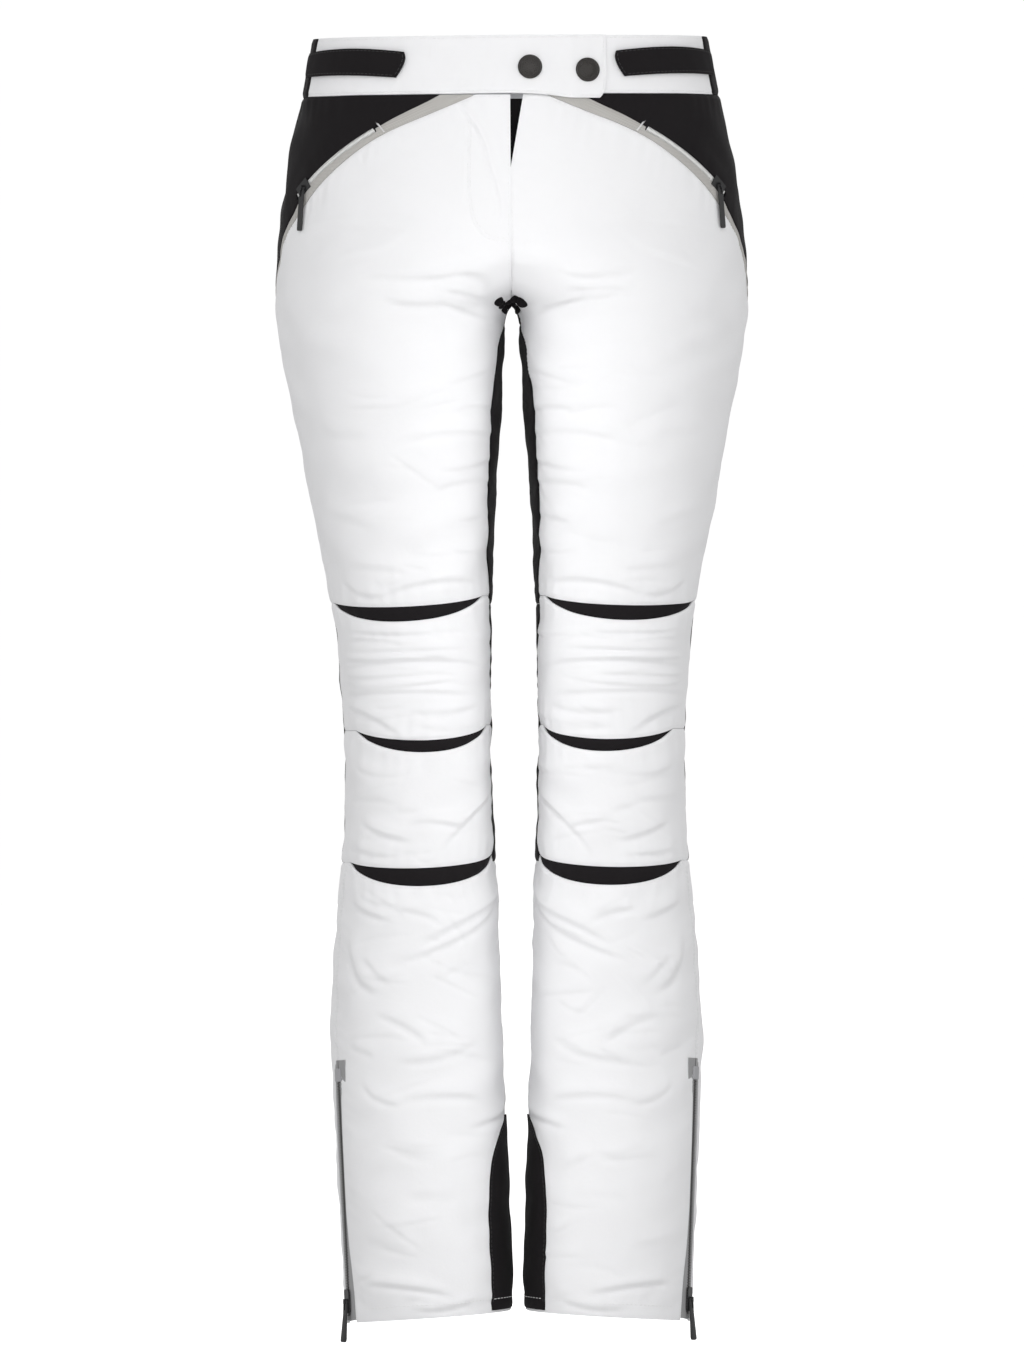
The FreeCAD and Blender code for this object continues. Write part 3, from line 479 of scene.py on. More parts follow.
def border(rows, columns):
    """The indices round the edge of a grid, in order."""
    top = list(range(columns))
    right = [r * columns + columns - 1 for r in range(1, rows)]
    bottom = [(rows - 1) * columns + c for c in range(columns - 2, -1, -1)]
    left = [r * columns for r in range(rows - 2, 0, -1)]
    return top + right + bottom + left


def cloth(name, outer, inner, uv, side):
    """A thin closed cloth between two grids of points. The inner face gets the second material."""
    rows, columns = outer.shape[:2]
    count = rows * columns
    mirror = np.array([side, 1, 1])
    verts = np.concatenate([outer.reshape(-1, 3), inner.reshape(-1, 3)]) * mirror
    flip = side == RIGHT
    faces = grid_faces(rows, columns, 0, flip) + grid_faces(rows, columns, count, not flip)
    ring = border(rows, columns)
    for a, b in zip(ring, ring[1:] + ring[:1]):
        quad = [b, a, a + count, b + count]
        faces.append(quad[::-1] if flip else quad)
    half = (rows - 1) * (columns - 1)
    slots = [0] * half + [1] * half + [0] * len(ring)
    return new_mesh(name, verts, faces, np.concatenate([uv, uv]).reshape(-1, 2), slots)


def arc_lengths(points, axis):
    steps = np.linalg.norm(np.diff(points, axis=axis), axis=-1)
    zero = np.zeros_like(np.take(steps, [0], axis=axis))
    return np.cumsum(np.concatenate([zero, steps], axis=axis), axis=axis)


def dressed(piece, look, bodies, nodes, bend=None):
    """A cloth piece with its two materials, riding one body, or with its transform baked in where it has a
    bend.
    """
    *materials, node_slot = look
    for material in materials:
        piece.data.materials.append(material)
    if bend:
        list(bodies)
        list(bend)
        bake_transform(piece)
    else:
        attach(piece, bodies[0])
    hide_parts(*nodes)
    return piece


class Panel:
    """A cloth panel between four seams, with the look of its folds, its sewn edges and its weave."""

    def __init__(self, left, right, top, bottom, calm=1.0, pinch=(1, 1, 1, 1), lift=0.0, thick=1.5,
                 pucker=1.0, step=GRID_STEP):
        self.calm, self.pinch, self.lift, self.thick, self.pucker = calm, pinch, lift, thick, pucker
        seams, few, many = (left, right, top, bottom), np.linspace(0, 1, 5), np.linspace(0, 1, 12)
        wide = arc_lengths(leg(*self.place(*seams, many, few)), 1)[:, -1].max()
        tall = arc_lengths(leg(*self.place(*seams, few, many)), 0)[-1].max()
        self.angle, self.z = self.place(*seams, shares(wide / MM, step), shares(tall / MM, step))
        self.base = leg(self.angle, self.z)
        self.normal = outward(self.angle, self.z)
        self.wide, self.tall = float(wide), float(tall)

    @staticmethod
    def place(left, right, top, bottom, across, along):
        t = along[:, None]
        ends = []
        for line, inset in ((left, GAP), (right, -GAP)):
            angle = line(top(np.full_like(t, FRONT)))
            for _ in range(12):
                z = top(angle) + (bottom(angle) - top(angle)) * t
                angle = line(z) + np.degrees(inset / LEG_RADIUS)
            ends.append(angle)
        angle = ends[0] + (ends[1] - ends[0]) * across[None, :]
        high, low = top(angle) - GAP, bottom(angle) + GAP
        return angle, high + (low - high) * t

    def surface(self, side):
        down, across = arc_lengths(self.base, 0), arc_lengths(self.base, 1)
        distance = [across, across[:, -1:] - across, down, down[-1:] - down]
        sewn, pucker = np.zeros(self.angle.shape), np.zeros(self.angle.shape)
        for k, (d, run) in enumerate(zip(distance, (down, down, across, across))):
            d, run = d / MM, run / MM
            sewn += self.pinch[k] * PINCH * np.exp(-(d / PINCH_WIDTH) ** 2)
            beat = np.sin(run / 2.1 + 1.7 * np.sin(run / 11.0 + k)) + 0.6 * np.sin(run / 3.4 + 2.0 * k)
            pucker += self.pinch[k] * PUCKER * np.exp(-d / PUCKER_REACH) * (d / PUCKER_REACH) * 2.0 * beat
        rise = self.calm * drape(self.base, self.angle, self.z, side)
        rise = rise + (self.lift(self.angle) if callable(self.lift) else self.lift)
        rise = rise + (self.pucker * pucker - np.minimum(sewn, MOST_PINCH)) * MM
        outer = self.base + self.normal * rise[..., None]
        inner = outer - self.normal * self.thick * MM
        uv = np.stack([across, -down], -1)
        return outer, inner, uv

    def make(self, name, side, look, bodies, nodes=(), held="hung", bend=None):
        piece = dressed(cloth(name, *self.surface(side), side), look, bodies, nodes or [name], bend)
        a, b, c, d = self.base[:-1, :-1], self.base[:-1, 1:], self.base[1:, 1:], self.base[1:, :-1]
        area = np.linalg.norm(np.cross(c - a, d - b), axis=-1).sum() / 2
        wide, tall = max(self.wide, LEAST_FLAT), max(self.tall, LEAST_FLAT)
        share = float(np.clip(area / (wide * tall), LEAST_SHARE, 1.0))
        return piece


# Materials ------------------------------------------------------------------------------------------
class Nodes:
    """A short way to write a material's node tree."""

    def __init__(self, name):
        self.material = bpy.data.materials.new(name)
        self.material.use_nodes = True
        self.tree = self.material.node_tree
        self.shader = self.tree.nodes["Principled BSDF"]

    def fill(self, socket, value):
        if isinstance(value, bpy.types.NodeSocket):
            self.tree.links.new(value, socket)
        else:
            socket.default_value = value

    def add(self, kind, values=None, **settings):
        node = self.tree.nodes.new("ShaderNode" + kind)
        for key, value in settings.items():
            setattr(node, key, value)
        for key, value in (values or {}).items():
            self.fill(node.inputs[key], value)
        return node

    def maths(self, operation, a, b):
        node = self.add("Math", operation=operation)
        for socket, value in zip(node.inputs, (a, b)):
            self.fill(socket, value)
        return node.outputs[0]

    def noise(self, place, scale, detail, roughness):
        return self.add("TexNoise", {"Vector": place, "Scale": scale, "Detail": detail,
                                     "Roughness": roughness}).outputs[0]

    def shade(self, **values):
        for key, value in values.items():
            self.fill(self.shader.inputs[key.replace("_", " ")], value)
        return self.material


def mixed(nodes, factor, dark, light):
    mix = nodes.add("Mix", data_type="RGBA")
    for socket, value in ((0, factor), (6, (*dark, 1)), (7, (*light, 1))):
        nodes.fill(mix.inputs[socket], value)
    return mix.outputs[2]


# The wave texture's scale that gives one band a metre.
WAVE_SCALE = 0.314159


def waves(nodes, vector, period_mm, turn, distort):
    """Bands across a coordinate in metres, one each period."""
    mapping = nodes.add("Mapping", {"Vector": vector, "Rotation": (0, 0, turn)})
    wave = nodes.add("TexWave", {"Vector": mapping.outputs[0], "Scale": WAVE_SCALE / (period_mm * MM),
                                 "Distortion": distort, "Detail": 1.0, "Detail Scale": 1.0})
    return wave.outputs["Fac"]


def woven(name, dark, light, period, twill, roughness, sheen, bump, mottle=0.35, gloss=0.3):
    """Woven cloth: crossing threads along the panel's own width and length, uneven in colour."""
    nodes = Nodes(name)
    uv = nodes.add("UVMap", uv_map="cloth").outputs[0]
    place = nodes.add("TexCoord").outputs["Object"]
    warp = waves(nodes, uv, period, math.radians(twill), 0.15)
    weft = waves(nodes, uv, period * 1.15, math.radians(twill + 90), 0.15)
    threads = nodes.maths("ADD", nodes.maths("MULTIPLY", warp, 0.5), nodes.maths("MULTIPLY", weft, 0.5))
    cloud, fuzz = nodes.noise(place, 14.0, 4.0, 0.55), nodes.noise(place, 420.0, 3.0, 0.6)
    blend = nodes.maths("ADD", nodes.maths("MULTIPLY", threads, 1 - mottle),
                        nodes.maths("MULTIPLY", cloud, mottle))
    relief = nodes.maths("ADD", threads, nodes.maths("MULTIPLY", fuzz, 0.7))
    first = nodes.add("Bump", {"Height": relief, "Strength": bump, "Distance": 0.00025})
    crumple = nodes.noise(place, 60.0, 5.0, 0.6)
    second = nodes.add("Bump", {"Height": crumple, "Normal": first.outputs[0], "Strength": 0.16,
                                "Distance": 0.002})
    return nodes.shade(Base_Color=mixed(nodes, blend, dark, light), Roughness=roughness, Sheen_Weight=sheen,
                       Sheen_Roughness=0.45, Specular_IOR_Level=gloss, Normal=second.outputs[0])


def solid(name, colour, roughness, metallic=0.0, grain=180.0, depth=0.12, coat=0.0):
    """Moulded or painted parts: an even colour with fine grain and slightly worn high spots."""
    nodes = Nodes(name)
    place = nodes.add("TexCoord").outputs["Object"]
    noise = nodes.noise(place, grain, 5.0, 0.65)
    dark = tuple(0.8 * c for c in colour)
    light = tuple(min(1.0, 1.25 * c + 0.004) for c in colour)
    rough = nodes.add("MapRange", {"Value": noise, "To Min": roughness - 0.08, "To Max": roughness + 0.1})
    bump = nodes.add("Bump", {"Height": noise, "Strength": depth, "Distance": 0.0003})
    return nodes.shade(Base_Color=mixed(nodes, noise, dark, light), Roughness=rough.outputs[0],
                       Metallic=metallic, Coat_Weight=coat, Normal=bump.outputs[0])


WHITE = woven("white_shell", (0.808, 0.808, 0.822), (0.887, 0.887, 0.897), 0.55, 0, 0.62, 0.18, 0.25)
BLACK = woven("black_stretch", (0.006, 0.005, 0.006), (0.017, 0.015, 0.016), 0.8, 35, 0.8, 0.03, 0.45,
              gloss=0.1)
GREY_RIB = woven("grey_rib", (0.30, 0.29, 0.275), (0.60, 0.585, 0.56), 1.15, 52, 0.7, 0.15, 0.6, 0.15)
LINING = woven("lining", (0.55, 0.56, 0.58), (0.63, 0.64, 0.66), 0.7, 45, 0.7, 0.1, 0.2)
TAPE = woven("zip_tape", (0.30, 0.30, 0.305), (0.44, 0.44, 0.445), 0.6, 60, 0.75, 0.1, 0.4)
GARAGE = woven("zip_garage", (0.36, 0.36, 0.375), (0.46, 0.46, 0.475), 0.7, 0, 0.7, 0.1, 0.4)
HOOK = woven("hook_loop", (0.010, 0.010, 0.010), (0.026, 0.026, 0.026), 0.7, 0, 0.9, 0.05, 0.9, gloss=0.1)
THREAD_WHITE = solid("thread_white", (0.80, 0.80, 0.81), 0.6)
THREAD_BLACK = solid("thread_black", (0.02, 0.02, 0.02), 0.6)
TEETH_GREY = solid("teeth_grey", (0.075, 0.074, 0.072), 0.42)
COIL_WHITE = solid("coil_white", (0.74, 0.74, 0.73), 0.45)
METAL_BLACK = solid("slider_black", (0.018, 0.018, 0.019), 0.38, 0.4, 220.0, 0.1, 0.2)
RUBBER_BLACK = solid("pull_black", (0.020, 0.020, 0.021), 0.55)
SNAP_DARK = solid("snap_dark", (0.022, 0.019, 0.017), 0.45, 0.3, 420.0, 0.6)
STEEL = solid("socket_steel", (0.42, 0.42, 0.43), 0.35, 1.0)
ELASTIC = woven("elastic", (0.62, 0.62, 0.62), (0.74, 0.74, 0.74), 1.2, 90, 0.6, 0.1, 0.6)

# The outer and inner material of each kind of panel, and its slot.
WHITE_LOOK, BLACK_LOOK = (WHITE, LINING, "shell_white"), (BLACK, LINING, "stretch_black")
GREY_LOOK, LINING_LOOK = (GREY_RIB, LINING, "contrast_grey"), (LINING, LINING, "lining")
BEND_TOP, BEND_BOTTOM = -0.455, -0.645


def knee_bend(side):
    x = 0.076 * side
    return (x, 0, BEND_TOP), (x, 0, BEND_BOTTOM)


# Waist ----------------------------------------------------------------------------------------------
TAB_END_X = 0.075
TAB_RISE = 3.6 * MM
SNAPS = [(0.0154, -0.0258), (0.06, -0.0284)]
STRAP_ROOT, STRAP_END = -9.0, -49.8
STRAP_OUT = 3.6 * MM
UPPER = ("upper",)
HIDDEN = dict(pinch=(0, 0, 0, 0), pucker=0)
TAB_BEND = ((-0.012, 0, 0), (0.0, 0, 0))
TAB_BOTTOM = height([(-90, -46), (-78, -47), (-66, -50)])


def tab_end(z):
    corner = np.clip((-z - 0.036) / 0.014, 0, 1) ** 2.5
    return front_angle(TAB_END_X - 0.0045 * corner, z)


def overlap_lift(angle):
    t = np.clip((angle + 120.0) / 30.0, 0, 1)
    return TAB_RISE * t * t * (3 - 2 * t)


def make_waist():
    band = dict(calm=0.35, thick=2.7, pucker=0.5, step=2.2)
    whole, insert = (flat(0.0), flat(-BAND_HEIGHT)), (flat(INSERT_FRONT), flat(INSERT_BACK))
    left = Panel(flat(float(front_angle(0.0006, -0.02))), flat(INSERT_FRONT), *whole, pinch=(0.3, 1, 0.8, 1),
                 **band)
    left.make("waistband_front_left", LEFT, WHITE_LOOK, UPPER)
    for edge in ("top", "bottom"):
        sew("waistband_stitching", left, LEFT, edge, 2.2, 78, 3, THREAD_WHITE, UPPER)
    overlap = Panel(flat(-180.0 - INSERT_FRONT), tab_end, flat(0.0), TAB_BOTTOM, pinch=(1, 0.9, 0.8, 1),
                    lift=overlap_lift, **band)
    overlap.make("waistband_overlap", LEFT, WHITE_LOOK, ("upper", "tab"),
                 ["waistband_front_right", "waist_tab"], bend=TAB_BEND)
    for edge in ("top", "bottom", "right"):
        sew("overlap_stitching", overlap, LEFT, edge, 2.2, 3, 2.4, THREAD_WHITE, ("upper", "tab"), TAB_BEND)
    back = Panel(flat(INSERT_BACK), flat(180 - INSERT_BACK), *whole, pinch=(1, 1, 0.8, 1), **band)
    back.make("waistband_back", LEFT, WHITE_LOOK, UPPER)
    for edge in ("top", "bottom"):
        sew("waistband_stitching", back, LEFT, edge, 2.2, 3, 3, THREAD_WHITE, UPPER)
    for side, name in SIDE_NAMES.items():
        Panel(*insert, *whole, pinch=(1, 1, 0.8, 1), **band).make(
            "waistband_side_" + name, side, BLACK_LOOK, UPPER)
        Panel(flat(INSERT_FRONT + 3), flat(INSERT_BACK - 3), flat(-0.008), flat(-0.038), calm=0.2, **HIDDEN,
              lift=-3.6 * MM, thick=1.0, step=3.0).make(
                  "waist_elastic_" + name, side, (ELASTIC, ELASTIC, "elastic_white"), UPPER,
                  ["waist_elastics"], held="stretched")
        make_strap(side, name)
    make_snaps()


def strap_edge(level, bow, drop):
    """An edge of the strap: its height at the root, how far it bows up, and how far its end drops."""
    def edge(angle):
        share = (angle - STRAP_ROOT) / (STRAP_END - STRAP_ROOT)
        return (level + bow * np.sin(math.pi * share) - drop * share) * MM
    return edge


STRAP_TOP, STRAP_BOTTOM = strap_edge(-12.4, 3.2, 0.8), strap_edge(-31.3, 1.8, 2.5)


def strap_tip(z):
    """The strap's free end slants, with rounded corners."""
    share = np.clip((-z - 0.0132) / 0.0206, 0, 1)
    return STRAP_END + 3.2 * share ** 2 + 1.1 * (1 - share) ** 6


def make_strap(side, name):
    body = ("strap_" + name,)
    strap = Panel(strap_tip, flat(STRAP_ROOT), STRAP_TOP, STRAP_BOTTOM, calm=0.3, pinch=(0.8, 0.5, 0.6, 0.6),
                  pucker=0.4, lift=STRAP_OUT, thick=1.8, step=1.8)
    strap.make("adjuster_strap_" + name, side, (BLACK, HOOK, "stretch_black"), body, held="stretched")
    for edge in ("top", "bottom", "left"):
        sew("strap_stitching_" + name, strap, side, edge, 1.7, 2, 2, THREAD_BLACK, body)
    Panel(flat(STRAP_END + 5), flat(STRAP_ROOT - 12), lambda a: STRAP_TOP(a) - 0.003,
          lambda a: STRAP_BOTTOM(a) + 0.003, calm=0.3, **HIDDEN, lift=1.2 * MM, thick=1.0, step=3.0).make(
              "strap_loop_patch_" + name, side, (HOOK, HOOK, "hook_loop_black"), UPPER,
              ["strap_loop_patches"])


def ring_faces(rings, sides):
    """Faces between rings of points, and one over each end."""
    faces = [(low + c, low + (c + 1) % sides, low + sides + (c + 1) % sides, low + sides + c)
             for low in range(0, (rings - 1) * sides, sides) for c in range(sides)]
    return faces + [tuple(range(sides))[::-1], tuple(range((rings - 1) * sides, rings * sides))]


def turns(sides):
    angles = np.linspace(0, 2 * math.pi, sides, endpoint=False)
    return np.cos(angles)[:, None], np.sin(angles)[:, None]


def lathe(profile, sides=48):
    """A closed turned shape about +Z from (radius, height) points; the ends close on the axis."""
    c, s = turns(sides)
    rings = [np.concatenate([r * c, r * s, h + 0 * c], 1) for r, h in profile]
    return np.concatenate(rings), ring_faces(len(profile), sides)


def join_parts(parts, side=LEFT):
    """Parts as one mesh, modelled on the wearer's left and mirrored for the right."""
    faces, base = [], 0
    for points, polys in parts:
        faces += [tuple(base + i for i in poly)[::side] for poly in polys]
        base += len(points)
    return np.concatenate([points for points, _ in parts]) * (side, 1, 1), faces


def small_piece(name, parts, side, material, body, nodes=(), smooth_angle=40):
    piece = new_mesh(name, *join_parts(parts, side), smooth_angle=smooth_angle)
    piece.data.materials.append(material)
    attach(piece, body)
    if nodes:
        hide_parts(*nodes)
    return piece


CAP_PROFILE = [(0.2, 0.0), (8.6, 0.0), (9.3, 0.25), (9.6, 0.8), (9.5, 1.5), (9.0, 2.1), (8.3, 2.35),
               (7.7, 2.2), (7.3, 1.75), (6.9, 1.7), (6.2, 1.9), (4.4, 2.15), (2.2, 2.28), (0.2, 2.3)]
STUD_PROFILE = [(0.2, -4.6), (1.7, -4.6), (2.0, -3.0), (3.0, -2.9), (3.0, 0.0), (0.2, 0.0)]
DOT_PROFILE, DOT_HEIGHT = [(0.98, 0), (0.8, 0.25), (0.35, 0.42)], 1.95
DOT_RINGS = [(1.4, 5), (3.0, 10), (4.6, 15), (5.9, 19)]


def make_snaps():
    """The caps, with rings of raised dots, and their studs."""
    parts = []
    for x, z in SNAPS:
        angle, level = front_angle(x, z), np.asarray(z)
        normal = outward(angle, level)
        across = unit(np.cross((0, 0, 1), normal))
        turn = np.stack([across, unit(np.cross(normal, across)), normal])
        origin = leg(angle, level) + normal * TAB_RISE
        shapes = [lathe(CAP_PROFILE), lathe(STUD_PROFILE, 24)]
        cap_rng = np.random.default_rng(RANDOM_SEED + int(x * 1e4))
        for ring, count in DOT_RINGS:
            for i in range(count):
                a = 2 * math.pi * (i + cap_rng.uniform(-0.2, 0.2)) / count
                size = cap_rng.uniform(0.45, 0.75)
                dot, faces = lathe([(size * r, h) for r, h in DOT_PROFILE], 8)
                shapes.append((dot + (ring * math.cos(a), ring * math.sin(a), DOT_HEIGHT), faces))
        parts += [(verts * MM @ turn + origin, faces) for verts, faces in shapes]
    small_piece("snap_caps_relief", parts, LEFT, SNAP_DARK, "tab", ["snap_caps"])


# Hips and thighs ------------------------------------------------------------------------------------
POCKET_ENDS = [(-41.5, -0.074), (-31.5, -0.0915), (-22.0, -0.1125)]


POCKET_DEPTH, ZIP_DEPTH = 0.9 * MM, 0.8 * MM


def skin(angle, z, depth):
    angle, z = np.asarray(angle, float), np.asarray(z, float)
    return leg(angle, z) - outward(angle, z) * depth


class Arc:
    """The hip pocket's zip line, an arc of a circle through three points of the hip."""

    def __init__(self):
        top, middle, bottom = [skin(a, z, POCKET_DEPTH) for a, z in POCKET_ENDS]
        a, b = middle - top, bottom - top
        cross = np.cross(a, b)
        offset = np.cross(cross, a) * (b @ b) + np.cross(b, cross) * (a @ a)
        self.centre = top + offset / (2 * cross @ cross)
        self.axis = unit(cross)
        self.top, self.radius = top, float(np.linalg.norm(top - self.centre))
        start, end = top - self.centre, bottom - self.centre
        self.turn = math.atan2(np.cross(start, end) @ self.axis, start @ end)
        half_way = self.rotate(start, 0.5)
        tangent = unit(np.cross(self.axis, half_way))
        normal = outward(*map(np.asarray, POCKET_ENDS[1]))
        self.normal = unit(normal - tangent * (normal @ tangent))
        self.length = self.radius * abs(self.turn)

    def rotate(self, vector, share):
        a = self.turn * share
        return (vector * math.cos(a) + np.cross(self.axis, vector) * math.sin(a)
                + self.axis * (self.axis @ vector) * (1 - math.cos(a)))

    def frame(self, share):
        """Point, across, out and up directions at a share of the way down."""
        point = self.centre + self.rotate(self.top - self.centre, share)
        normal = self.rotate(self.normal, share - 0.5)
        up = -unit(np.cross(self.axis, point - self.centre)) * (1 if self.turn > 0 else -1)
        return point, unit(np.cross(up, normal)), normal, up


class Line:
    """The leg zip's straight line."""

    def __init__(self):
        top, middle, bottom = [np.asarray(z) for z in (ZIP_TOP, (ZIP_TOP + ZIP_END) / 2, ZIP_END)]
        self.top = skin(zip_angle(top), top, ZIP_DEPTH)
        bottom = skin(zip_angle(bottom), bottom, ZIP_DEPTH)
        self.length = float(np.linalg.norm(self.top - bottom))
        self.up = unit(self.top - bottom)
        self.across = unit(np.cross(self.up, outward(zip_angle(middle), middle)))
        self.normal = np.cross(self.across, self.up)

    def put(self, verts):
        return verts @ np.stack([self.across, -self.normal, self.up]) + self.top


POCKET, LEG_ZIP = Arc(), Line()
QUIET_LINES = [np.array([POCKET.frame(s)[0] for s in np.linspace(-0.1, 1.4, 16)]),
               np.array([LEG_ZIP.top + LEG_ZIP.up * 0.012,
                         LEG_ZIP.top - LEG_ZIP.up * (LEG_ZIP.length + 0.01)])]
QUIET_NEAR, QUIET_RAMP = 0.006, 0.018


def quiet(points):
    """0 beside the zips, where the cloth lies flat, rising to 1 away from them."""
    total = np.ones(points.shape[:-1])
    for line in QUIET_LINES:
        t = np.clip((distance_to(line, points) - QUIET_NEAR) / QUIET_RAMP, 0, 1)
        total *= t * t * (3 - 2 * t)
    return total


# Sewing ---------------------------------------------------------------------------------------------
SEWN = {}
STITCH_SIDES = 6
STITCH_LIFT, LINE_LIFT = 0.12 * MM, 0.05 * MM
STITCH_RINGS = [(-1.0, 0.25), (-0.72, 0.85), (0.0, 1.0), (0.72, 0.85), (1.0, 0.25)]


def run_along(points):
    return np.concatenate([[0], np.cumsum(np.linalg.norm(np.diff(points, axis=0), axis=1))])


def resample(points, normals, spacing):
    run = run_along(points)
    at = np.linspace(0, run[-1], max(2, int(run[-1] / spacing) + 1))
    places, outs = [np.stack([np.interp(at, run, values[:, k]) for k in range(3)], 1)
                    for values in (points, normals)]
    return places, unit(outs)


def stitch(name, points, normals, side, material, bodies, bend=None, length=2.7, gap=0.9, radius=0.27):
    """Add a row of stitches along a line to a named piece, made later by finish_sewing."""
    points, normals = resample(np.asarray(points), np.asarray(normals), (length + gap) * MM / 2)
    parts = SEWN.setdefault(name, (material, bodies, bend, []))[3]
    c, s = turns(STITCH_SIDES)
    for i in range(1, len(points) - 1, 2):
        middle, along = points[i], unit(points[i + 1] - points[i - 1])
        out = unit(normals[i] - along * (normals[i] @ along))
        across = np.cross(along, out)
        rings = [middle + out * STITCH_LIFT + along * (length * MM / 2 * run)
                 + (across * c + out * s * 0.7) * radius * MM * r - out * STITCH_LIFT * run * run
                 for run, r in STITCH_RINGS]
        parts.append(join_parts([(np.concatenate(rings), ring_faces(len(rings), STITCH_SIDES))], side))


def finish_sewing():
    for name, (material, bodies, bend, parts) in SEWN.items():
        piece = new_mesh(name, *join_parts(parts), smooth_angle=70)
        piece.data.materials.append(material)
        if bend:
            bodies[0]
            bodies[1]
            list(bend)
            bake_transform(piece)
        else:
            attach(piece, bodies[0])


def inset_line(panel, side, edge, inset):
    """A line over a panel's face at a distance in from its top, bottom, left or right edge."""
    outer, _, _ = panel.surface(side)
    grids = [outer, panel.normal]
    if edge in ("left", "right"):
        grids = [np.swapaxes(g, 0, 1) for g in grids]
    if edge in ("bottom", "right"):
        grids = [g[::-1] for g in grids]
    run = arc_lengths(grids[0], 0)
    picked = [np.array([[np.interp(inset * MM, run[:, c], g[:, c, k]) for k in range(3)]
                        for c in range(run.shape[1])]) for g in grids]
    return picked[0], unit(picked[1])


def sew(name, panel, side, edge, inset, start, end, material, bodies, bend=None, **row):
    """Stitch along a panel's edge at an inset, without a length in millimetres at each end."""
    points, normals = inset_line(panel, side, edge, inset)
    run = run_along(points)
    keep = (run >= start * MM) & (run <= run[-1] - end * MM)
    stitch(name, points[keep], normals[keep], side, material, bodies, bend, **row)


# Upper panels ---------------------------------------------------------------------------------------
SLOT_CORNERS = [(-2.3, -5), (2.3, -5), (2.3, 5), (-2.3, 5)]


def cut_slot(piece, side):
    """Open a narrow slot for the hip pocket's zip."""
    frames = [POCKET.frame(share) for share in np.linspace(-0.02, 1.31, 30)]
    cutter = new_mesh("slot_cutter", *join_parts([swept(frames, SLOT_CORNERS)], side))
    change = piece.modifiers.new("slot", "BOOLEAN")
    change.operation, change.solver, change.object = "DIFFERENCE", "EXACT", cutter
    bpy.context.view_layer.update()
    cut = bpy.data.meshes.new_from_object(piece.evaluated_get(bpy.context.evaluated_depsgraph_get()))
    piece.modifiers.remove(change)
    piece.data = cut
    bpy.data.objects.remove(cutter)


def make_hips():
    for side, name in SIDE_NAMES.items():
        hip = Panel(flat(-62.3), flat(YOKE), flat(BAND_SEAM), HIP_LINE, pinch=(0, 0.6, 1, 1))
        cut_slot(hip.make("hip_panel_" + name, side, BLACK_LOOK, UPPER), side)
        Panel(flat(YOKE), back_edge, flat(BAND_SEAM), HIP_LINE, pinch=(0.6, 0.8, 1, 1)).make(
            "seat_panel_" + name, side, BLACK_LOOK, UPPER)
        strip = Panel(flat(-75.0), flat(SIDE), lambda a: np.minimum(HIP_LINE(a), BAND_SEAM), STRIP_LINE,
                      pinch=(0, 0.3, 0.8, 0.8), pucker=0.5, lift=0.25 * MM, step=1.8)
        strip = strip.make("hip_contrast_strip_" + name, side, GREY_LOOK, UPPER, ["hip_contrast_strips"])
        cut_slot(strip, side)
        Panel(flat(-61.0), flat(-24.0), lambda a: HIP_LINE(a) - 0.022, lambda a: HIP_LINE(a) - 0.15,
              calm=0.3, **HIDDEN, lift=-5.5 * MM, thick=1.2, step=4.0).make(
                  "pocket_bag_" + name, side, LINING_LOOK, UPPER)
        make_pocket_zip(side, name)


def swept(frames, corners):
    """A closed bar through frames (point, across, out, up), with (across, out) corners in millimetres."""
    verts = [p + (a * x + n * y) * MM for p, a, n, _ in frames for x, y in corners]
    return np.array(verts), ring_faces(len(frames), len(corners))


CAPSULE_END = [(0.9, 0.3), (0.5, 0.82), (0.0, 1.0)]


def capsule(start, end, radius, sides=6):
    """A short round-ended bar."""
    along = unit(end - start)
    across = unit(np.cross(along, (0.3, 0.5, 0.8)))
    c, s = turns(sides)
    ring = across * c + np.cross(along, across) * s
    rings = ([start + (ring * r - along * h) * radius for h, r in CAPSULE_END]
             + [end + (ring * r + along * h) * radius for h, r in CAPSULE_END[::-1]])
    return np.concatenate(rings), ring_faces(len(rings), sides)


COIL_PITCH, COIL_LIFT, COIL_RADIUS = 1.2, 0.45, 0.42
COIL_END = 1.28
TACK_PLACE, TACK_LIFT, TACK_PITCH, TACK_SLANT, TACK_RADIUS = -0.08, 1.15, 0.8, 0.3, 0.3
POCKET_TAPE = [(-4.6, -0.5), (4.6, -0.5), (4.6, -0.1), (-4.6, -0.1)]


def make_pocket_zip(side, name):
    tape = swept([POCKET.frame(s) for s in np.linspace(-0.04, 1.29, 32)], POCKET_TAPE)
    small_piece("pocket_zip_tape_" + name, [tape], side, BLACK, "upper")
    count = int(POCKET.length * COIL_END / MM / COIL_PITCH)
    coil = []
    for i in range(count):
        for half in (-1, 1):
            point, across, normal, _ = POCKET.frame(COIL_END * (i + 0.5 + 0.25 * half) / count)
            centre = point + normal * COIL_LIFT * MM
            coil.append(capsule(centre - across * 0.35 * half * MM, centre + across * 1.75 * half * MM,
                                COIL_RADIUS * MM))
    small_piece("pocket_zip_coil_" + name, coil, side, COIL_WHITE, "upper",
                ["pocket_zip_" + name])
    point, across, normal, up = POCKET.frame(TACK_PLACE)
    tilt = TACK_SLANT * (-1 if across[2] > 0 else 1)
    tack = []
    for i in range(-7, 8):
        middle = point + normal * TACK_LIFT * MM + (across + up * tilt) * i * TACK_PITCH * MM
        tack.append(capsule(middle - up * 0.5 * MM, middle + up * 0.5 * MM, TACK_RADIUS * MM))
    small_piece("pocket_bar_tack_" + name, tack, side, THREAD_WHITE, "upper")


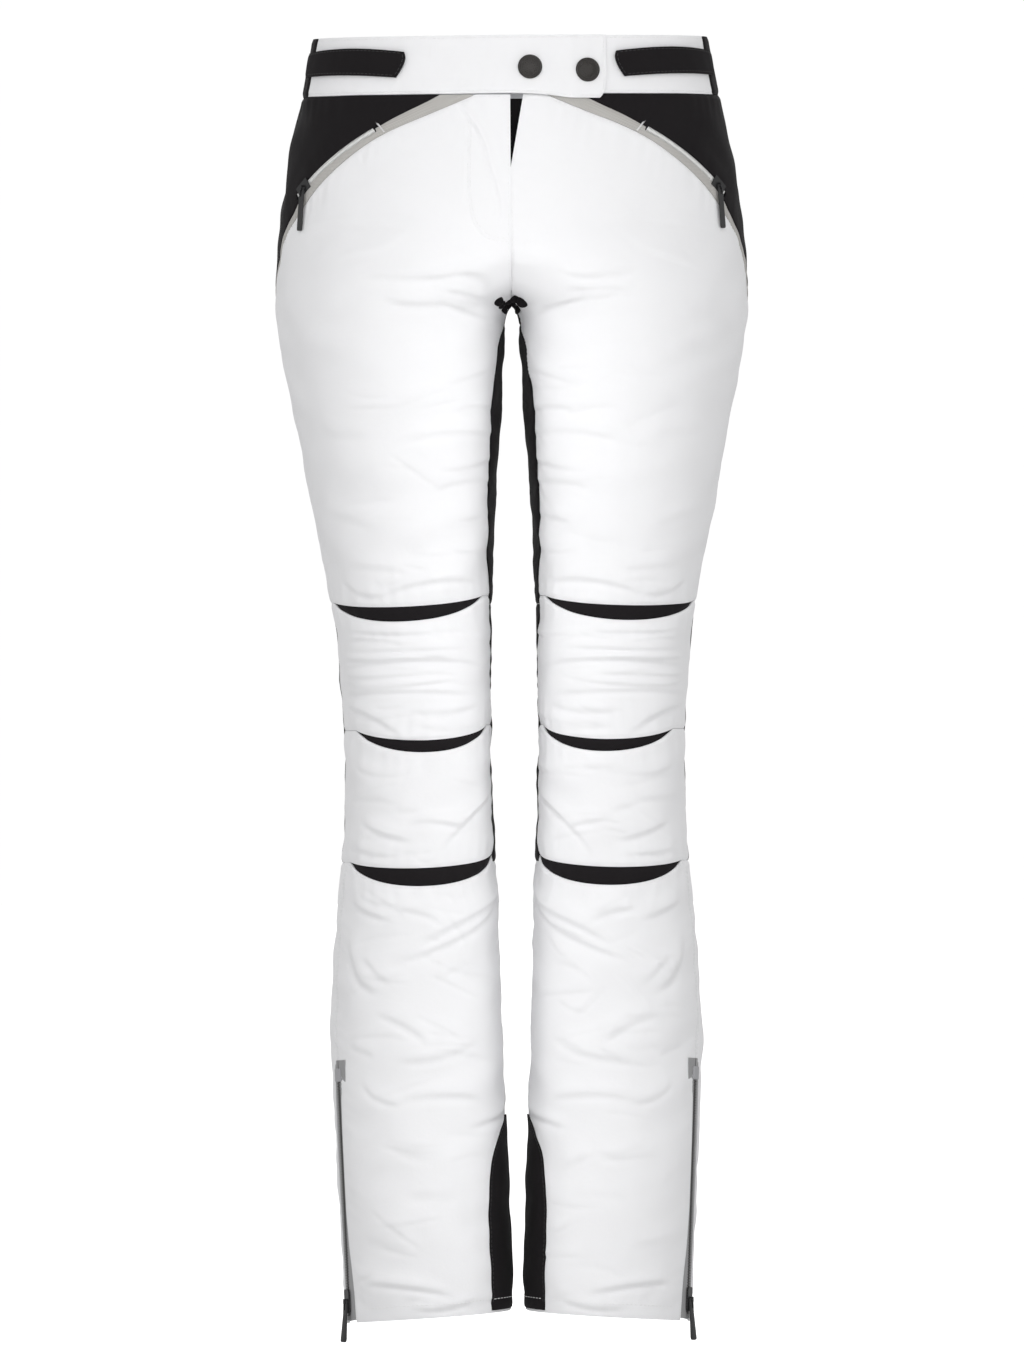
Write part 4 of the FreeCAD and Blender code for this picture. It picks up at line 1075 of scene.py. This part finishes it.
def line_on_front(points, side):
    """A smooth line over the front's finished cloth, with its normals, from points in millimetres."""
    points = np.array(points, float)
    for _ in range(3):
        cut = np.empty((2 * len(points) - 2, 2))
        cut[0::2], cut[1::2] = 0.75 * points[:-1] + 0.25 * points[1:], 0.25 * points[:-1] + 0.75 * points[1:]
        points = np.concatenate([points[:1], cut, points[-1:]])
    x, z = points.T * MM
    angle = front_angle(x, z)
    base, normal = leg(angle, z), outward(angle, z)
    return base + normal * (drape(base, angle, z, side) + LINE_LIFT)[..., None], normal


def sew_upper(panels):
    for shift in (0.0, 2.4):
        line = [(x - shift * (0.9 if x > 20 else 0.4), z + (shift if x < 28 else 0)) for x, z in J_LINE]
        stitch("fly_stitching", *line_on_front(line, RIGHT), RIGHT, THREAD_WHITE, UPPER)
    for side, front in panels.items():
        start = 18 if side == RIGHT else 84
        sew("fly_stitching", front, side, "left", 1.9, start, 175, THREAD_WHITE, UPPER)
        sew("hip_stitching", front, side, "top", 1.8, 6, 4, THREAD_WHITE, UPPER)
        sew("dart_stitching_upper", front, side, "bottom", 1.8, 4, 6, THREAD_WHITE, UPPER)


def make_thighs():
    panels = {}
    for side, name in SIDE_NAMES.items():
        gape = FLY_GAPE if side == LEFT else 0.0
        panels[side] = Panel(front_edge(gape), flat(SIDE), STRIP_LINE, DARTS[0].top,
                             pinch=(0.8 if gape else 0.1, 0.3, 1, 1), step=2.0)
        panels[side].make("front_thigh_" + name, side, WHITE_LOOK, UPPER)
        Panel(flat(SIDE), BACK_INNER, HIP_LINE, flat(KNEE_TOP), pinch=(0.3, 1, 1, 1), step=2.4).make(
            "back_thigh_" + name, side, WHITE_LOOK, UPPER)
        Panel(BACK_INNER, inner_from_back, flat(GUSSET), flat(KNEE_TOP), pinch=(1, 1, 0.6, 0.8)).make(
            "inner_thigh_" + name, side, BLACK_LOOK, UPPER)
    return panels


def make_gusset():
    """A saddle over the crotch, from one leg's inner face to the other's."""
    first, last = float(BACK_INNER(GUSSET)) + 0.3, 360 + float(FRONT_INNER(GUSSET)) - 0.3
    angle = np.linspace(first, last, 30)
    low, high = np.full(30, GUSSET + 0.0004), np.full(30, CROTCH + 0.014)
    for _ in range(40):
        middle = (low + high) / 2
        across = leg(angle, middle)[:, 0] < 0
        high, low = np.where(across, middle, high), np.where(across, low, middle)
    apex = leg(angle, high)
    share = np.linspace(1, 0.02, 9)[None, :]
    z = apex[:, 2:3] + (GUSSET + 0.0003 - apex[:, 2:3]) * share
    side = leg(np.broadcast_to(angle[:, None], z.shape), z)
    middle = np.stack([np.zeros(30), apex[:, 1], apex[:, 2] - 0.0002], -1)[:, None]
    outer = np.concatenate([side * (-1, 1, 1), middle, side[:, ::-1]], 1)
    level = np.zeros(outer.shape[:2])
    down = np.stack([-np.sign(outer[..., 0]) * 0.7, level, level - 0.6], -1)
    inner = outer - unit(down) * 1.5 * MM
    uv = np.stack([arc_lengths(outer, 1), -arc_lengths(outer, 0)], -1)
    piece = cloth("crotch_gusset", outer[::-1], inner[::-1], uv[::-1], LEFT)
    dressed(piece, BLACK_LOOK, UPPER, ["crotch_gusset"])
    wide, tall = float(arc_lengths(outer, 1)[:, -1].max()), float(arc_lengths(outer, 0)[-1].max())


# Each fold's middle (x, z) and half lengths in millimetres, and its turn in degrees.
TUCKS = [
    (-10.4, -208.6, (4.0, 3.6, 4.4), 10), (-6.6, -213.4, (2.6, 3.4, 5.6), 24),
    (-2.4, -208.4, (5.6, 3.4, 2.7), 28), (5.0, -206.8, (6.4, 3.4, 3.4), 10),
    (8.6, -208.8, (5.2, 3.8, 5.2), -20), (5.2, -213.6, (2.4, 3.4, 5.4), -18),
    (-3.4, -211.4, (3.6, 3.2, 3.4), 40), (2.4, -210.6, (3.6, 3.2, 3.2), -35),
    (-8.2, -211.0, (3.0, 3.4, 4.0), -30),
]
TUCK_SINK = 0.9


def make_gusset_tucks():
    """The gusset's folded ends, which stand out in front at the crotch."""
    parts = []
    for x, z, half, turn in TUCKS:
        y = float(leg(front_angle(np.asarray(abs(x) * MM), np.asarray(z * MM)), np.asarray(z * MM))[1]) / MM
        verts, faces = ball(half)
        c, s = math.cos(math.radians(turn)), math.sin(math.radians(turn))
        verts = verts @ np.array([[c, 0, s], [0, 1, 0], [-s, 0, c]])
        parts.append((verts * MM + np.array([x, y - TUCK_SINK, z]) * MM, faces))
    small_piece("gusset_tucks", parts, LEFT, BLACK, "upper")


def ball(half, rings=10, columns=18):
    """An egg shape with three half lengths."""
    turn = np.linspace(0, 2 * math.pi, columns, endpoint=False)
    verts = [[0, 0, half[2]]]
    for ring in range(1, rings):
        tilt = math.pi * ring / rings
        verts += [[half[0] * math.sin(tilt) * math.cos(a), half[1] * math.sin(tilt) * math.sin(a),
                   half[2] * math.cos(tilt)] for a in turn]
    verts.append([0, 0, -half[2]])
    faces = [(0, 1 + c, 1 + (c + 1) % columns) for c in range(columns)]
    for ring in range(rings - 2):
        a, b = 1 + ring * columns, 1 + (ring + 1) * columns
        faces += [(a + c, b + c, b + (c + 1) % columns, a + (c + 1) % columns) for c in range(columns)]
    last = len(verts) - 1
    faces += [(last, last - columns + (c + 1) % columns, last - columns + c) for c in range(columns)]
    return np.array(verts, float), faces


FLY_BACK = 15.0 * MM
SHIELD_HALF, SHIELD_TOP, SHIELD_BOTTOM, SHIELD_THICK = 0.026, -0.050, -0.178, 1.6 * MM


def make_fly_shield():
    x, z = np.meshgrid(np.linspace(-SHIELD_HALF, SHIELD_HALF, 27),
                       np.linspace(SHIELD_TOP, SHIELD_BOTTOM, 60))
    front = leg(front_angle(np.abs(x), z), z)
    rows = [np.stack([x, front[..., 1] + depth, z], -1) for depth in (FLY_BACK, FLY_BACK + SHIELD_THICK)]
    piece = cloth("fly_shield", rows[0], rows[1], np.stack([x, z], -1), LEFT)
    dressed(piece, (BLACK, BLACK, "stretch_black"), UPPER, ["fly_shield"])


# Lower panels ---------------------------------------------------------------------------------------
PATCH_EDGE = seam([(-848, -172), (-862, -153), (-890, -139), (-925, -134), (-1005, -132)])


def make_legs():
    for side, name in SIDE_NAMES.items():
        lower = "lower_leg_" + name
        both, bend = ("upper", lower), knee_bend(side)
        for place, over, under in (("upper", *DARTS[:2]), ("lower", *DARTS[1:])):
            Panel(FRONT_INNER, flat(SIDE), over.bottom, under.top, pinch=(1, 0.3, 1, 1), step=1.7).make(
                f"knee_panel_{place}_{name}", side, WHITE_LOOK, both, bend=bend)
        for number, dart in enumerate(DARTS, 1):
            bodies, turn = ((lower,), None) if number == 3 else (both, bend)
            node = "upper_knee_darts" if number == 1 else "lower_knee_darts_" + name
            Panel(flat(dart.middle - dart.reach + 0.4), flat(dart.middle + dart.reach - 0.4), dart.top,
                  dart.bottom, pinch=(0, 0, 1, 1), pucker=0.6, lift=-0.5 * MM, step=2.0).make(
                      f"knee_dart_{number}_{name}", side, BLACK_LOOK, bodies, [node], bend=turn)
        Panel(flat(SIDE), inner_from_back, flat(KNEE_TOP), flat(KNEE_BOTTOM), pinch=(0.3, 1, 0.8, 0.8),
              step=1.7).make("knee_back_" + name, side, BLACK_LOOK, both, bend=bend)
        shin = Panel(FRONT_INNER, zip_edge(-1), DARTS[2].bottom, hem, pinch=(0.7, 0.6, 1, 0.4), step=1.9)
        shin.make("shin_front_" + name, side, WHITE_LOOK, (lower,))
        calf = Panel(zip_edge(1), inner_from_back,
                     lambda a: np.where(a < SIDE, DARTS[2].bottom(a), KNEE_BOTTOM), hem,
                     pinch=(0.6, 0.7, 1, 0.4), step=2.6)
        calf.make("calf_back_" + name, side, WHITE_LOOK, (lower,))
        patch = Panel(lambda z: -360 - PATCH_EDGE(z) - 4, PATCH_EDGE, flat(-0.850), lambda a: hem(a) + 0.002,
                      pinch=(0.6, 0.6, 0, 0.5), pucker=0.4, lift=1.3 * MM, thick=1.0, step=2.2)
        patch.make("kick_patch_" + name, side, BLACK_LOOK, (lower,))
        Panel(flat(ZIP_ANGLE), flat(ZIP_ANGLE + 360), flat(-0.878), flat(-0.986), calm=0.3, **HIDDEN,
              lift=-12.0 * MM, thick=1.2, step=4.0).make("gaiter_" + name, side, LINING_LOOK, (lower,))
        make_leg_zip(side, name)
        make_leg_grip(side, name)
        sew_leg(side, name, shin, calf, patch)


def sew_leg(side, name, shin, calf, patch):
    bodies = ("lower_leg_" + name,)
    for panel, edge, inset, start, end in ((shin, "top", 1.8, 5, 5), (shin, "right", 1.8, 4, 3),
                                           (calf, "left", 1.8, 4, 3), (shin, "bottom", 11, 3, 12),
                                           (calf, "bottom", 11, 3, 3)):
        sew("leg_stitching_" + name, panel, side, edge, inset, start, end, THREAD_WHITE, bodies)
    sew("kick_patch_stitching_" + name, patch, side, "bottom", 9, 1, 1, THREAD_WHITE, bodies,
        length=3.2, gap=1.6, radius=0.3)
    for edge in ("left", "right"):
        sew("kick_patch_edging_" + name, patch, side, edge, 1.6, 3, 3, THREAD_BLACK, bodies)


TOOTH_PITCH = 2.1
TAPE_TOP = 17.0
TAPE_STRIPS = (0.9, 4.0), (4.0, 7.2), (-0.9, -4.0), (-4.0, -7.2), (-7.2, -9.6), (-9.6, -12.0)


def rounded_box(x0, x1, y0, y1, z0, z1, cut):
    """A box in millimetres with its edges cut off, returned in metres."""
    verts, index = [], {}
    ends = (x0, x1), (y0, y1), (z0, z1)
    for corner in range(8):
        sign = [(corner >> k) & 1 for k in range(3)]
        for axis in range(3):
            index[corner, axis] = len(verts)
            verts.append([ends[k][sign[k]] + (0 if k == axis else -cut if sign[k] else cut)
                          for k in range(3)])
    faces = []

    def add_face(loop, forward):
        faces.append(tuple(loop if forward else loop[::-1]))

    for axis in range(3):
        u, v = (axis + 1) % 3, (axis + 2) % 3
        for value in (0, 1):
            corners = [(value << axis) | (a << u) | (b << v) for a, b in ((0, 0), (1, 0), (1, 1), (0, 1))]
            add_face([index[corner, axis] for corner in corners], value)
        for a, b in ((0, 0), (0, 1), (1, 0), (1, 1)):
            low = (a << u) | (b << v)
            high = low | (1 << axis)
            add_face([index[low, u], index[low, v], index[high, v], index[high, u]], a == b)
    for corner in range(8):
        add_face([index[corner, axis] for axis in range(3)], corner.bit_count() % 2)
    return np.array(verts) * MM, faces


def bent_round(verts):
    """Wrap flat parts round the leg across the zip."""
    return verts + np.stack([0 * verts[:, 0], verts[:, 0] ** 2 / (2 * ZIP_RADIUS * MM), 0 * verts[:, 0]], 1)


def make_leg_zip(side, name):
    length = LEG_ZIP.length / MM

    def finish(parts, piece_name, material, nodes=()):
        parts = [(LEG_ZIP.put(bent_round(verts)), faces) for verts, faces in parts]
        small_piece(piece_name + name, parts, side, material, "lower_leg_" + name, nodes)

    tapes = [rounded_box(*sorted(strip), -0.4, 0.4, -length - 2.0, TAPE_TOP, 0.15) for strip in TAPE_STRIPS]
    finish(tapes, "leg_zip_tape_", TAPE, ["leg_zip_" + name])
    teeth = []
    for i in range(int(length / TOOTH_PITCH)):
        for half in (-1, 1):
            z = -TOOTH_PITCH * (i + 0.5 + 0.25 * half)
            near, far = sorted((-0.7 * half, 2.6 * half))
            teeth.append(rounded_box(near, far, -1.3, 1.0, z - 0.45, z + 0.45, 0.22))
    finish(teeth, "leg_zip_teeth_", TEETH_GREY)
    finish([rounded_box(-5.3, 5.3, -1.8, 0.9, 0, 10.5, 0.6)], "leg_zip_garage_", GARAGE)


PULL_LEAN = 1.5
GRIP_TOP, GRIP_LENGTH = 10, 22
# The grip moulded on a leg zip's pull: share of its full width, and height below the pin in millimetres.
GRIP_PROFILE = [(0.3, -32.2), (0.75, -31.9), (1.0, -30.8), (1.0, -24.0), (1.0, -17.0), (1.0, -11.2),
                (0.85, -10.3), (0.4, -10.0)]


def make_leg_grip(side, name):
    """A moulded grip that widens down the leg zip's pull."""
    joints = {joint["name"]: joint for joint in frame["record"]["behaviour"]["joints"]}
    pin = np.array(joints["leg_zip_left_pull_swing"]["pos_m"])
    level = unit(np.cross((0, 0, 1), LEG_ZIP.normal))
    hang = np.array([0, 0, 1]) - LEG_ZIP.normal * math.tan(math.radians(PULL_LEAN))
    hang = unit(hang - level * (hang @ level))
    verts, faces = lathe(GRIP_PROFILE, 20)
    low = np.clip((-verts[:, 2] - GRIP_TOP) / GRIP_LENGTH, 0, 1)
    boxy = np.sign(verts[:, :2]) * np.abs(verts[:, :2]) ** 0.7
    thick = 1.0 + 0.9 * low
    placed = np.stack([boxy[:, 0] * (3.4 + 0.7 * low), boxy[:, 1] * thick + 1.0 - thick, verts[:, 2]], 1)
    verts = placed * MM @ np.stack([level, np.cross(hang, level), hang]) + pin
    small_piece("leg_zip_grip_" + name, [(verts, faces)], side, RUBBER_BLACK, "leg_pull_" + name)


# Hardware kept from the frame -----------------------------------------------------------------------
def paint(node, material):
    piece = next(o for o in bpy.context.scene.objects if o.get("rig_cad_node") == node)
    piece.data.materials.clear()
    piece.data.materials.append(material)
    piece.data.shade_smooth()
    piece.data.set_sharp_from_angle(angle=math.radians(35))


def paint_hardware():
    for node, material in (("snap_sockets", STEEL), ("fly_zip", TAPE), ("fly_zip_slider", METAL_BLACK),
                           ("fly_zip_pull", RUBBER_BLACK)):
        paint(node, material)
    for name in SIDE_NAMES.values():
        for node, material in (("pocket_slider_", METAL_BLACK), ("pocket_pull_", RUBBER_BLACK),
                               ("leg_zip_slider_", METAL_BLACK), ("leg_zip_pull_", RUBBER_BLACK)):
            paint(node + name, material)


# Stage ----------------------------------------------------------------------------------------------
def area_light(name, place, target, size, power):
    data = bpy.data.lights.new(name, "AREA")
    data.shape, data.size, data.size_y, data.energy = "RECTANGLE", size[0], size[1], power
    light = bpy.data.objects.new(name, data)
    bpy.context.scene.collection.objects.link(light)
    light.location = place
    light.rotation_euler = Vector(np.subtract(target, place)).to_track_quat("-Z", "Y").to_euler()
    light.visible_camera = False


DOME = 40.0
FLOOR_GAP = 0.002
WORLD_GLOW = 0.57
CAMERA_DISTANCE = 20.0
CAMERA_X, CAMERA_Z = -0.0018, -0.509
CAMERA_ROLL = 0.38
FRAME_HEIGHT = 1.078
# Each light's name, place, target, size and power.
LIGHTS = [("key", (0.0, -1.7, 0.85), (0, 0, -0.15), (3.0, 0.4), 8),
          ("waist", (0.0, -0.5, 0.03), (0, 0, -0.05), (0.45, 0.06), 0.43),
          ("side", (1.9, -0.7, -0.5), (0, 0, -0.55), (0.5, 1.3), 5.5),
          ("side", (-1.9, -0.7, -0.5), (0, 0, -0.55), (0.5, 1.3), 5.5),
          ("fill", (0.0, -1.5, -1.0), (0, 0, -0.85), (0.6, 0.4), 1.5),
          ("centre", (0.0, -0.27, -0.60), (0, 0, -0.60), (0.05, 0.84), 0.355),
          ("back", (0.0, 1.6, 0.8), (0, 0, -0.4), (1.6, 1.0), 14)]


def glowing(name, glow, base):
    """A plain pale surface that also gives off its own even light."""
    material = bpy.data.materials.new(name)
    material.use_nodes = True
    shader = material.node_tree.nodes["Principled BSDF"]
    shader.inputs["Base Color"].default_value = (base, base, base, 1)
    shader.inputs["Roughness"].default_value = 0.9
    shader.inputs["Emission Color"].default_value = (1, 1, 1, 1)
    shader.inputs["Emission Strength"].default_value = glow
    return material


def make_stage():
    scene = bpy.context.scene
    low = cad_box[0][2] - FLOOR_GAP
    corners = [(x * DOME, y * DOME, low) for x, y in ((-1, -1), (1, -1), (1, 1), (-1, 1))]
    floor = new_mesh("floor", corners, [(0, 1, 2, 3)])
    arch = [(DOME * math.cos(a), DOME * math.sin(a)) for a in np.linspace(-1.57, 1.57, 24)]
    dome = new_mesh("backdrop", *lathe(arch))
    floor.data.materials.append(glowing("floor_white", 0.9, 0.8))
    dome.data.materials.append(glowing("backdrop_white", 1.0, 0.0))
    for piece in (floor, dome):
        piece.visible_diffuse = piece.visible_glossy = False
    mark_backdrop(floor, dome)
    world = scene.world or bpy.data.worlds.new("World")
    scene.world = world
    world.use_nodes = True
    sky = world.node_tree.nodes["Background"].inputs
    sky[0].default_value = (1, 1, 1, 1)
    sky[1].default_value = WORLD_GLOW
    for light in LIGHTS:
        area_light(*light)
    camera = bpy.data.objects.new("camera", bpy.data.cameras.new("camera"))
    scene.collection.objects.link(camera)
    camera.location = (CAMERA_X, -CAMERA_DISTANCE, CAMERA_Z)
    camera.rotation_euler = (math.radians(90), math.radians(CAMERA_ROLL), 0)
    camera.data.sensor_fit = "VERTICAL"
    camera.data.sensor_height = 24.0
    camera.data.lens = camera.data.sensor_height * CAMERA_DISTANCE / FRAME_HEIGHT
    camera.data.clip_end = 2 * DOME
    scene.camera = camera
    scene.view_settings.view_transform = "Standard"
    scene.view_settings.look = "None"


make_waist()
make_hips()
sew_upper(make_thighs())
make_gusset()
make_gusset_tucks()
make_fly_shield()
make_legs()
paint_hardware()
finish_sewing()
make_stage()

[[list(map(float, corner)) for corner in box] for box in (cad_box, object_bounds())]
